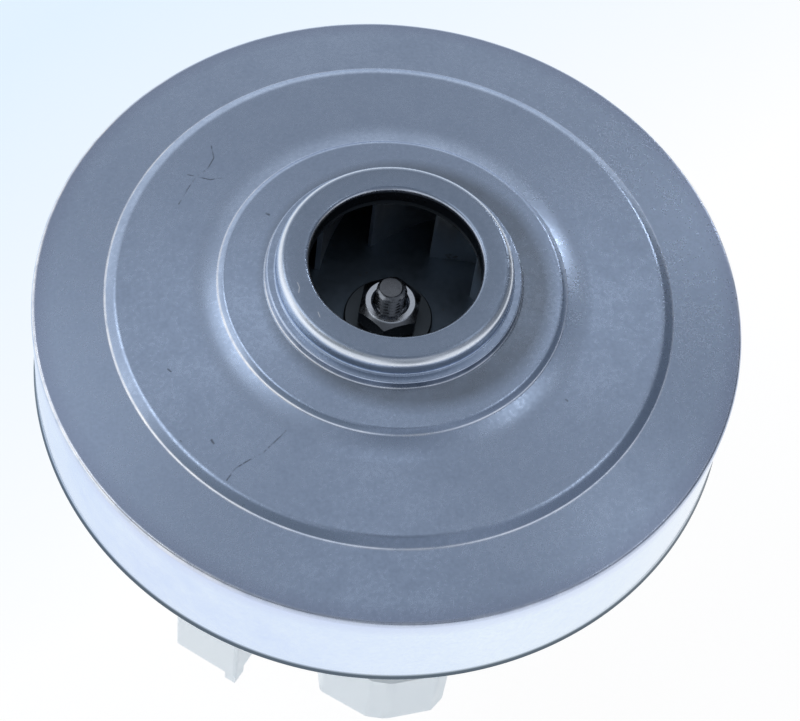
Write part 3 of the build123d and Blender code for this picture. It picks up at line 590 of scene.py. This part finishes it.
    rough_top = remap(tree, tone, 0.2, 0.8, 0.32, 0.25)
    rough_side = remap(tree, cloud, 0, 1, 0.15, 0.21)
    mixed = node(tree, "ShaderNodeMix", data_type="FLOAT")
    tree.links.new(wall, mixed.inputs["Factor"])
    tree.links.new(rough_top, mixed.inputs[2])
    tree.links.new(rough_side, mixed.inputs[3])
    tree.links.new(mixed.outputs[0], shader.inputs["Roughness"])

    bump(tree, shader, noise(tree, 1700, 2, 0.5), 0.010, 0.35)
    bump(tree, shader, noise(tree, 26, 3, 0.5), 0.5, 0.10)
    drawn = node(tree, "ShaderNodeTexNoise", Scale=1400, Detail=2, Roughness=0.5)
    lines = node(tree, "ShaderNodeCombineXYZ")
    tree.links.new(maths(tree, "MULTIPLY", height, 1.0), lines.inputs["Z"])
    tree.links.new(maths(tree, "MULTIPLY", radius, 0.3), lines.inputs["X"])
    tree.links.new(lines.outputs[0], drawn.inputs["Vector"])
    bump(tree, shader, maths(tree, "MULTIPLY", drawn.outputs["Fac"], wall), 0.02, 0.35)
    return material


def laminations(name, dark, light):
    """Stack of punched sheets: fine dark joints between the sheets on every upright face."""
    material, tree, shader = principled(name, light, 0.55, 0.45)
    place = node(tree, "ShaderNodeTexCoord").outputs["Object"]
    parts = node(tree, "ShaderNodeSeparateXYZ")
    tree.links.new(place, parts.inputs[0])
    phase = maths(tree, "FRACT", maths(tree, "MULTIPLY", parts.outputs["Z"], 2000), 0)
    away = maths(tree, "ABSOLUTE", maths(tree, "SUBTRACT", phase, 0.5), 0)
    normal = node(tree, "ShaderNodeSeparateXYZ")
    tree.links.new(node(tree, "ShaderNodeTexCoord").outputs["Normal"], normal.inputs[0])
    upright = remap(tree, maths(tree, "ABSOLUTE", normal.outputs["Z"], 0), 0.4, 0.6, 1, 0)
    joint = maths(tree, "MULTIPLY", remap(tree, away, 0.40, 0.47, 0, 1), upright)
    colour = mix_colour(tree, remap(tree, noise(tree, 500, 3), 0.3, 0.7, 0.25, 0.75), dark, light)
    layer = node(tree, "ShaderNodeTexWhiteNoise", noise_dimensions="1D")
    tree.links.new(maths(tree, "FLOOR", maths(tree, "MULTIPLY", parts.outputs["Z"], 2000), 0), layer.inputs["W"])
    tint = maths(tree, "MULTIPLY", maths(tree, "MULTIPLY", layer.outputs["Value"], upright), 0.35)
    colour = mix_colour(tree, tint, colour, tuple(c * 0.6 for c in dark))
    colour = mix_colour(tree, maths(tree, "MULTIPLY", joint, 0.8), colour, (0.02, 0.02, 0.022))
    tree.links.new(colour, shader.inputs["Base Color"])
    tree.links.new(remap(tree, noise(tree, 600, 3), 0.3, 0.7, 0.36, 0.55), shader.inputs["Roughness"])
    bump(tree, shader, maths(tree, "SUBTRACT", 1.0, joint), 0.05, 0.8)
    bump(tree, shader, noise(tree, 1500, 2), 0.02, 0.5)
    return material


def enamelled_wire():
    """Copper wire under clear enamel, browner where varnish has run between the turns."""
    material, tree, shader = principled(
        "enamelled_copper", (0.50, 0.17, 0.05), 0.75, 0.28, Coat_Weight=0.6, Coat_Roughness=0.12)
    cloud = remap(tree, noise(tree, 260, 4), 0.3, 0.7, 0, 1)
    colour = mix_colour(tree, cloud, (0.36, 0.10, 0.03), (0.62, 0.23, 0.07))
    varnish = remap(tree, noise(tree, 90, 3), 0.52, 0.70, 0, 0.5)
    colour = mix_colour(tree, varnish, colour, (0.20, 0.07, 0.025))
    tree.links.new(colour, shader.inputs["Base Color"])
    bump(tree, shader, noise(tree, 900, 2), 0.02, 0.4)
    return material


looks = {
    "cover": cover_metal(),
    "pale": pale_plastic(),
    "former": plain_plastic("former_plastic", (0.60, 0.60, 0.55), (0.70, 0.70, 0.64), 0.45),
    "dark": plain_plastic("dark_plastic", (0.028, 0.028, 0.03), (0.05, 0.05, 0.054), 0.42),
    "moulding": plain_plastic("commutator_moulding", (0.05, 0.025, 0.018), (0.085, 0.045, 0.032), 0.4),
    "rubber": plain_plastic("sleeve_rubber", (0.018, 0.018, 0.018), (0.04, 0.04, 0.04), 0.7),
    "carbon": plain_plastic("brush_carbon", (0.03, 0.03, 0.032), (0.065, 0.065, 0.07), 0.55),
    "bracket": metal("bracket_steel", (0.50, 0.52, 0.55), (0.66, 0.69, 0.73), 0.34, 1100, None, 0.02,
                     (0.28, 0.29, 0.30)),
    "impeller": metal("impeller_metal", (0.42, 0.47, 0.53), (0.56, 0.60, 0.64), 0.42, 700, None, 0.02,
                      (0.22, 0.18, 0.14)),
    "shaft": metal("shaft_steel", (0.55, 0.56, 0.58), (0.66, 0.67, 0.69), 0.22, 1500, (1, 1, 12), 0.01),
    "bearing": metal("bearing_steel", (0.58, 0.59, 0.61), (0.68, 0.69, 0.71), 0.18, 1200, (1, 1, 8), 0.006),
    "zinc": metal("zinc_steel", (0.58, 0.60, 0.62), (0.72, 0.74, 0.76), 0.28, 900),
    # The nut look's near-black past 4.75 mm is painted shade on the chamfer and flats
    "nut": metal("nut_steel", (0.62, 0.67, 0.75), (0.75, 0.80, 0.88), 0.22, 1300, None, 0.01, (0.14, 0.13, 0.12),
                 painted_shade_past=4.75),
    "thread": metal("thread_steel", (0.13, 0.14, 0.16), (0.22, 0.235, 0.26), 0.24, 1200, None, 0.01),
    # The plate look's near-black above 109.5 mm is painted shade on the shroud's eye under the inlet
    "plate": metal("plate_metal", (0.085, 0.115, 0.15), (0.14, 0.18, 0.23), 0.42, 700, None, 0.02, (0.13, 0.11, 0.09),
                   painted_shade_above=109.5),
    "washer": metal("washer_steel", (0.07, 0.085, 0.10), (0.12, 0.14, 0.16), 0.42, 900, None, 0.01),
    "brass": metal("tube_brass", (0.62, 0.44, 0.16), (0.78, 0.58, 0.26), 0.27, 800),
    "spring": metal("spring_steel", (0.35, 0.35, 0.37), (0.50, 0.50, 0.53), 0.25, 900),
    "bars": metal("commutator_copper", (0.62, 0.30, 0.17), (0.80, 0.44, 0.27), 0.26, 1400, (1, 1, 9), 0.012),
    "stack": laminations("lamination", (0.16, 0.17, 0.19), (0.30, 0.32, 0.35)),
    "rotor_stack": laminations("armature_lamination", (0.26, 0.27, 0.29), (0.42, 0.44, 0.46)),
    "copper": enamelled_wire(),
}

# CAD nodes that stay: a fine edge break and a finished material
kept = {
    "diffuser": ("dark", 0.15), "front_bracket": ("bracket", 0.25), "front_bearing_outer": ("bearing", 0.15),
    "rear_bearing_outer": ("bearing", 0.15), "front_bearing_inner": ("bearing", 0.12),
    "rear_bearing_inner": ("bearing", 0.12), "stator_core": ("stack", 0.08), "front_coil_former": ("former", 0.15),
    "rear_coil_former": ("former", 0.15), "rear_bridge": ("pale", 0.45), "rear_bearing_sleeve": ("rubber", 0.2),
    "preload_washer": ("spring", 0.05), "front_brush_tube": ("brass", 0.08), "rear_brush_tube": ("brass", 0.08),
    "front_brush_hood": ("pale", 0.5), "rear_brush_hood": ("pale", 0.5), "terminal_block": ("pale", 0.35),
    "terminal_blades": ("brass", 0.1), "armature_core": ("rotor_stack", 0.08), "commutator_hub": ("moulding", 0.2),
    "commutator_bars": ("bars", 0.08), "impeller_vanes": ("impeller", 0.15), "front_brush": ("carbon", 0.2),
    "rear_brush": ("carbon", 0.2),
}
for name, (look, edge) in kept.items():
    piece = nodes[name]
    for place in piece.material_slots:
        place.material = looks[look]
    weld = piece.modifiers.new("weld", "WELD")
    weld.merge_threshold = 0.5e-6
    soften = piece.modifiers.new("bevel", "BEVEL")
    soften.width = edge * MM
    soften.segments = 2
    soften.limit_method = "ANGLE"
    soften.angle_limit = math.radians(32)
    soften.harden_normals = True

# Fan cover: the same drawn sheet as the CAD node, with the small bends that the press leaves
cover_line = [
    (INLET_R, INLET_LIP_Z), (INLET_R, COLLAR_TOP), (COLLAR_R, COLLAR_TOP), (COLLAR_R, FLANGE_Z), (FLANGE_R, FLANGE_Z),
    (COLLAR_FOOT_R, COLLAR_FOOT_Z), (RING_R, RING_Z), (32.8, 108.78), (33.0, 108.5), (36.6, 107.35), (DISH_R, DISH_Z),
    (53.7, 104.76), (53.9, 104.48), (COVER_R, RIM_Z), (COVER_R, COVER_BOTTOM + 1.0), (COVER_LIP_R, COVER_BOTTOM),
]
cover_bends = [1.0, 2.0, 0.5, 0.4, 0.6, 1.5, 0.1, 0.4, 16.0, 2.6, 0.1, 0.1, 0.8, 1.2]
shape = revolved(sheet_profile(cover_line, cover_bends, SHEET), 288)
add_piece("cover_shell", mesh_of("cover_shell", *shape), looks["cover"], "motor_frame",
          ["fan_cover"], 50)

# Impeller: plate with turned edge, dished shroud, nut, washer
plate_top = PLATE_Z + PLATE_T
plate = [
    (THREAD_R, PLATE_Z), (IMPELLER_R - 0.1, PLATE_Z), (IMPELLER_R, PLATE_Z + 0.1), (IMPELLER_R, plate_top - 0.1),
    (IMPELLER_R - 0.1, plate_top), (THREAD_R, plate_top),
]
add_piece("impeller_disc", mesh_of("impeller_disc", *revolved(plate, 192)), looks["plate"], "rotor",
          ["impeller_plate"])
dish = sheet_profile([(IMPELLER_R, 101.4), (19.3, 107.4), (SHROUD_EYE_R, 111.0)], [5.0], 1.0)
add_piece("impeller_dish", mesh_of("impeller_dish", *revolved(dish, 192)), looks["plate"], "rotor",
          ["impeller_shroud"])

washer_top = plate_top + WASHER_T
washer = ring_profile(THREAD_R + 0.05, WASHER_R, plate_top, washer_top, 0.25)
add_piece("clamp_ring", mesh_of("clamp_ring", *revolved(washer, 128)), looks["washer"], "rotor",
          ["clamp_washer"])
nut = hex_body(NUT_FLATS, washer_top, washer_top + NUT_H, 4.7, THREAD_R + 0.02, 0.7, NUT_TURN, 192)
add_piece("impeller_nut_body", mesh_of("impeller_nut_body", *nut), looks["nut"], "rotor",
          ["impeller_nut"], 28)

# Shaft with a threaded end; spacer between the front bearing and the impeller
bar = [
    (0.001, SHAFT_BOTTOM), (SHAFT_R - 0.5, SHAFT_BOTTOM), (SHAFT_R, SHAFT_BOTTOM + 0.5), (SHAFT_R, COMMUTATOR_TOP),
    (SHAFT_CORE_R, COMMUTATOR_TOP), (SHAFT_CORE_R, FRONT_BEARING_Z), (SHAFT_R, FRONT_BEARING_Z),
    (SHAFT_R, PLATE_Z - 0.4), (SHAFT_R - 0.3, PLATE_Z), (2.4, PLATE_Z), (2.4, PLATE_Z + 0.6),
    (0.001, PLATE_Z + 0.6),
]
thread = threaded(THREAD_R, THREAD_PITCH, PLATE_Z + 0.2, SHAFT_TOP, THREAD_R - 0.62, per_turn=60)
add_piece("shaft_bar", mesh_of("shaft_bar", *revolved(bar, 96)), looks["shaft"], "rotor",
          ["shaft"], 40)
add_piece("shaft_thread", mesh_of("shaft_thread", *thread), looks["thread"], "rotor", [], 40)
spacer = ring_profile(SHAFT_R, 7.0, 87.8, PLATE_Z, 0.3)
add_piece("spacer_tube", mesh_of("spacer_tube", *revolved(spacer, 96)), looks["zinc"], "rotor",
          ["spacer_sleeve"])


# Field coils: nested turns of wire round each pole, over a filled core
def coil_loop(radius, half_turn, half_height, corner, middle, straight=7, arc=6):
    """Closed loop on a cylinder round a pole; half_turn in degrees, heights from the coil's middle."""
    half_width = math.radians(half_turn) * radius
    outline = []
    for quarter, (sx, sz) in enumerate(((1, 1), (-1, 1), (-1, -1), (1, -1))):
        for step in range(arc + 1):
            angle = math.radians(90 * quarter + 90 * step / arc)
            outline.append((sx * (half_width - corner) + corner * math.cos(angle),
                            sz * (half_height - corner) + corner * math.sin(angle)))
        if quarter in (0, 2):
            x0, z0 = outline[-1]
            for step in range(1, straight):
                outline.append((x0 - 2 * sx * (half_width - corner) * step / straight, z0))
    height = (COIL_BOTTOM + COIL_TOP) / 2
    return [polar(radius, middle + math.degrees(x / radius), height + z) for x, z in outline]


seeded = random.Random(7)
turns_deep, layers = 10, 10
for side, middle in (("right", 0.0), ("left", 180.0)):
    shapes = []
    for layer in range(layers):
        radius = COIL_INNER_R + 0.33 + layer * (COIL_OUTER_R - COIL_INNER_R - 0.66) / (layers - 1)
        for turn in range(turns_deep):
            if 0 < layer < layers - 1 and 0 < turn < turns_deep - 1:
                continue
            share = (turn + 0.5) / turns_deep
            angle = COIL_WINDOW + 0.8 + share * (COIL_ANGLE - COIL_WINDOW - 1.6)
            rise = 15.32 + share * (21.5 - 15.64)
            wobble = seeded.uniform(-0.05, 0.0)
            loop = coil_loop(radius + wobble, angle, rise + wobble, 1.6 + 0.55 * turn, middle)
            shapes.append(swept(loop, WIRE_D / 2, 6, True, polar(1, middle)))
    rings = []
    for radius in (COIL_INNER_R + 0.45, COIL_OUTER_R - 0.45):
        for angle, rise, corner in ((COIL_WINDOW + 1.0, 15.5, 1.7), (COIL_ANGLE - 1.2, 20.9, 6.0)):
            rings.append(coil_loop(radius, angle, rise, corner, middle))
    near_in, near_out, far_in, far_out = rings
    order = [near_in, near_out, far_out, far_in]
    size = len(near_in)
    fill_points = [point for ring in order for point in ring]
    fill_faces = []
    for ring in range(4):
        for step in range(size):
            after = (step + 1) % size
            low, high = ring * size, (ring + 1) % 4 * size
            fill_faces.append((low + step, low + after, high + after, high + step))
    shapes.append((fill_points, fill_faces))
    add_piece(f"{side}_coil_turns", mesh_of(f"{side}_coil_turns", *join_shapes(*shapes)), looks["copper"],
              "motor_frame", [f"{side}_field_coil"], 60)

# Armature winding: slot fills, domed ends and the turns that cross over them
shapes = []
fill = [(12.75, -0.7), (19.25, -1.7), (20.1, -0.75), (20.1, 0.75), (19.25, 1.7), (12.75, 0.7)]
for index in range(SLOTS):
    points = []
    for z in (ARMATURE_BOTTOM, ARMATURE_TOP):
        for x, y in fill:
            points.append(Matrix.Rotation(2 * math.pi * index / SLOTS, 3, "Z") @ Vector((x, y, z)))
    faces = [(k, (k + 1) % 6, 6 + (k + 1) % 6, 6 + k) for k in range(6)]
    shapes.append((points, faces + [tuple(range(6))[::-1], tuple(range(6, 12))]))
for face_z, grow in ((ARMATURE_TOP, 1), (ARMATURE_BOTTOM, -1)):
    dome = [(5.0, 0), (19.2, 0), (19.4, 3.6), (18.0, 4.9), (15.6, 5.6), (9.0, 5.6), (6.8, 4.8), (5.0, 3.2)]
    shapes.append(revolved([(r, face_z + grow * z) for r, z in dome], 96))
    for slot in range(SLOTS):
        start = 360 * slot / SLOTS
        for strand in range(6):
            lift = 0.9 + 0.85 * strand * 0.9
            reach = 18.9 - 0.25 * strand
            low_r = 8.3 + 0.75 * strand + seeded.uniform(-0.2, 0.2)
            sweep = 360 * 10 / SLOTS + seeded.uniform(-1.5, 1.5)
            path = []
            for step in range(15):
                share = step / 14
                swell = math.sin(math.pi * share)
                r = reach - (reach - low_r) * swell ** 1.1
                z = min(lift + 2.2 * swell, 6.05 if r < 16.0 else 6.05 - (r - 16.0) * 0.42)
                path.append(polar(r, start + strand * 1.6 - 4 + sweep * share, face_z + grow * z))
            shapes.append(swept(path, 0.30, 5))
add_piece("armature_turns", mesh_of("armature_turns", *join_shapes(*shapes)), looks["copper"], "rotor",
          ["armature_winding"], 60)

# Wire ends from the winding to the commutator's risers
shapes = []
for index in range(SLOTS):
    at = 360 * (index + 0.5) / SLOTS
    path = [polar(14.6, at - 9, 36.6), polar(13.6, at - 6, 34.6), polar(12.6, at - 2.5, 32.6),
            polar(11.9, at, 31.7), polar(11.2, at + 0.5, 31.6)]
    shapes.append(swept(path, 0.28, 6))
add_piece("commutator_leads", mesh_of("commutator_leads", *join_shapes(*shapes)), looks["copper"], "rotor",
          [], 60)

# Brush springs: real helices
for name, side in (("front", -1), ("rear", 1)):
    path = []
    steps = SPRING_TURNS * 20
    for step in range(steps + 1):
        share = step / steps
        ends = min(1, share * 9, (1 - share) * 9)
        pitch = 0.5 - math.cos(math.pi * share) / 2 if ends < 1 else share
        y = BRUSH_OUTER + SPRING_WIRE_R + (SPRING_END - BRUSH_OUTER - 2 * SPRING_WIRE_R) * (0.5 * share + 0.5 * pitch)
        angle = 2 * math.pi * SPRING_TURNS * share
        reach = SPRING_R - SPRING_WIRE_R
        path.append((reach * math.cos(angle), side * y, BRUSH_Z + reach * math.sin(angle)))
    coil = mesh_of(f"{name}_spring_coil", *swept(path, SPRING_WIRE_R, 8, False, (1, 0, 0)))
    piece = add_piece(f"{name}_spring_coil", coil, looks["spring"], "motor_frame",
                      [f"{name}_brush_spring"], 60)
    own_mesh(piece)


def flange_screw(length, shank, head, flats, head_h):
    """Hexagon flange screw, head down, its seat on z = 0 and its shank upwards."""
    flange = ring_profile(0.001, head, -0.8, 0.0, 0.2)
    thread_part = threaded(shank, 0.7 if shank > 1.6 else 0.5, 0.0, length, shank - 0.4, per_turn=28)
    hexagon_part = hex_body(flats, -head_h, -0.7, flats / 2 - 0.1, 0, 0.0, 0.0, 72)
    return join_shapes(revolved(flange, 48), hexagon_part, thread_part)


def several(shape, places):
    """The same form at several places."""
    return join_shapes(*(turned(shape, angle, place) for place, angle in places))


long_screw = flange_screw(40.4, 2.0, 3.6, 5.5, 3.0)
places = [((x, y, 38.5), 17 * index) for index, (x, y) in
          enumerate([(-34, -22), (-34, 22), (34, -22), (34, 22)])]
add_piece("frame_screw_set", mesh_of("frame_screw_set", *several(long_screw, places)), looks["zinc"], "motor_frame",
          ["frame_screws"], 35)
short_screw = flange_screw(7.6, 1.5, 2.8, 4.2, 2.0)
places = [(tuple(polar(50.0, angle, 80.4)), angle) for angle in (30, 150, 270)]
add_piece("diffuser_screw_set", mesh_of("diffuser_screw_set", *several(short_screw, places)), looks["zinc"],
          "motor_frame", ["diffuser_screws"], 35)


# Floor, soft studio light and camera
def direction_mask(tree, direction, towards, inner, outer):
    """1 inside a cone of directions, 0 outside it, with a soft edge; angles in degrees."""
    dot = node(tree, "ShaderNodeVectorMath", operation="DOT_PRODUCT")
    tree.links.new(direction, dot.inputs[0])
    dot.inputs[1].default_value = Vector(towards).normalized()
    low, high = math.cos(math.radians(outer)), math.cos(math.radians(inner))
    mapped = remap(tree, dot.outputs["Value"], low, high, 0, 1)
    mapped.node.interpolation_type = "SMOOTHSTEP"
    return mapped


def studio_world():
    """Soft studio all round, written as light that depends on the direction alone."""
    world = bpy.data.worlds.new("studio")
    world.use_nodes = True
    tree = world.node_tree
    background = tree.nodes["Background"]
    direction = node(tree, "ShaderNodeTexCoord").outputs["Generated"]
    colour = None
    sky = [
        # towards, inner angle, outer angle, colour
        ((0.0, 0.0, 1.0), 10, 80, (0.62, 0.64, 0.68)),
        ((0.143, 0.45, 0.88), 18, 56, (0.36, 0.37, 0.39)),
        ((-0.08, 0.50, 0.86), 4, 11, (0.72, 0.75, 0.80)),
        ((0.35, 0.48, 0.80), 4, 11, (0.74, 0.77, 0.82)),
        ((0.07, 0.13, 0.99), 3, 10, (0.62, 0.65, 0.70)),
        ((-0.95, 0.1, 0.15), 12, 50, (1.15, 1.16, 1.18)),
        ((-0.73, 0.50, 0.46), 4, 14, (0.60, 0.62, 0.66)),
        ((0.84, 0.505, 0.195), 8, 28, (0.14, 0.15, 0.17)),
        ((0.143, -0.60, 0.79), 16, 36, (0.36, 0.38, 0.42)),
        ((0.12, -0.90, 0.42), 10, 22, (0.20, 0.22, 0.25)),
        ((0.03, -0.24, 0.97), 4, 13, (0.16, 0.175, 0.20)),
        ((-0.72, -0.22, 0.66), 10, 26, (0.22, 0.24, 0.26)),
        ((-0.42, -0.52, 0.75), 8, 22, (0.18, 0.20, 0.22)),
        ((-0.52, 0.24, 0.81), 4, 10, (1.9, 1.94, 2.0)),
        ((-0.55, 0.47, 0.69), 3, 9, (2.4, 2.45, 2.5)),
        ((-0.52, 0.02, 0.85), 2, 9, (2.2, 2.25, 2.3)),
        ((0.52, 0.03, 0.855), 2, 7, (2.4, 2.45, 2.5)),
        ((0.92, 0.02, 0.39), 14, 32, (0.15, 0.17, 0.20)),
        ((0.68, -0.42, 0.60), 6, 22, (0.20, 0.22, 0.26)),
        ((0.675, 0.627, 0.40), 1, 4, (14.0, 14.2, 14.5)),
    ]
    for towards, inner, outer, shade in sky:
        mask = direction_mask(tree, direction, towards, inner, outer)
        colour = mix_colour(tree, mask, colour if colour else (0.84, 0.85, 0.87), shade)
    parts = node(tree, "ShaderNodeSeparateXYZ")
    tree.links.new(direction, parts.inputs[0])
    below = remap(tree, parts.outputs["Z"], -0.02, 0.0, 1, 0)
    colour = mix_colour(tree, below, colour, (1.0, 1.0, 1.0))
    rays = node(tree, "ShaderNodeLightPath")
    seen = maths(tree, "MAXIMUM", rays.outputs["Is Camera Ray"], rays.outputs["Is Transmission Ray"])
    colour = mix_colour(tree, seen, colour, (1.0, 1.0, 1.0))
    tree.links.new(colour, background.inputs["Color"])
    background.inputs["Strength"].default_value = 1.0
    bpy.context.scene.world = world


def pale_floor():
    """White floor with a cool far corner; what the camera sees of it glows a little, the shadow stays."""
    size = 3000.0
    steps = 12
    points = [(size * (x / steps - 0.5), size * (y / steps - 0.5), -0.05) for y in range(steps + 1)
              for x in range(steps + 1)]
    faces = [(y * (steps + 1) + x, y * (steps + 1) + x + 1, (y + 1) * (steps + 1) + x + 1, (y + 1) * (steps + 1) + x)
             for y in range(steps) for x in range(steps)]
    mesh = mesh_of("studio_floor", points, faces)
    mesh.flip_normals()
    material, tree, shader = principled("floor_paint", (0.90, 0.91, 0.92), 0, 0.9, Specular_IOR_Level=0.1)
    place = node(tree, "ShaderNodeTexCoord").outputs["Object"]
    along = node(tree, "ShaderNodeVectorMath", operation="DOT_PRODUCT")
    tree.links.new(place, along.inputs[0])
    along.inputs[1].default_value = (-0.55, 0.835, 0)
    far = node(tree, "ShaderNodeVectorMath", operation="LENGTH")
    tree.links.new(place, far.inputs[0])
    cool = maths(tree, "MULTIPLY", remap(tree, along.outputs["Value"], 0.02, 0.16, 0, 1),
                 remap(tree, far.outputs["Value"], 0.45, 1.1, 1, 0))
    paint = mix_colour(tree, cool, (1.0, 1.0, 1.0), (0.75, 0.88, 1.0))
    glow = node(tree, "ShaderNodeEmission")
    tree.links.new(paint, glow.inputs["Color"])
    glow.inputs["Strength"].default_value = 1.10
    both = node(tree, "ShaderNodeMixShader")
    rays = node(tree, "ShaderNodeLightPath")
    seen = maths(tree, "MAXIMUM", rays.outputs["Is Camera Ray"], rays.outputs["Is Glossy Ray"])
    seen = maths(tree, "MAXIMUM", seen, rays.outputs["Is Transmission Ray"])
    dim = node(tree, "ShaderNodeMixShader")
    dim.inputs["Fac"].default_value = 0.16
    tree.links.new(glow.outputs[0], dim.inputs[1])
    tree.links.new(shader.outputs[0], dim.inputs[2])
    tree.links.new(seen, both.inputs["Fac"])
    tree.links.new(shader.outputs[0], both.inputs[1])
    tree.links.new(dim.outputs[0], both.inputs[2])
    clear = node(tree, "ShaderNodeBsdfTransparent")
    sides = node(tree, "ShaderNodeMixShader")
    tree.links.new(node(tree, "ShaderNodeNewGeometry").outputs["Backfacing"], sides.inputs["Fac"])
    tree.links.new(both.outputs[0], sides.inputs[1])
    tree.links.new(clear.outputs[0], sides.inputs[2])
    tree.links.new(sides.outputs[0], tree.nodes["Material Output"].inputs["Surface"])
    mesh.materials.append(material)
    floor = bpy.data.objects.new("studio_floor", mesh)
    bpy.context.scene.collection.objects.link(floor)


def photo_camera():
    """Camera at the place that the circles of the cover give in the photo."""
    lens = bpy.data.cameras.new("camera")
    lens.sensor_width = 36
    lens.lens = 108
    lens.clip_start = 0.01
    camera = bpy.data.objects.new("camera", lens)
    bpy.context.scene.collection.objects.link(camera)
    right = Vector((0.98706715, -0.13536022, 0.08588396))
    up = Vector((0.0718192, 0.85236963, 0.51798457))
    back = -Vector((0.14331938, 0.50511744, -0.85106752))
    turn = Matrix((right, up, back)).transposed().to_4x4()
    camera.matrix_world = Matrix.Translation((-0.06426324, -0.23983368, 0.48404222)) @ turn
    bpy.context.scene.camera = camera


studio_world()
pale_floor()
photo_camera()
bpy.context.scene.view_settings.view_transform = "Standard"
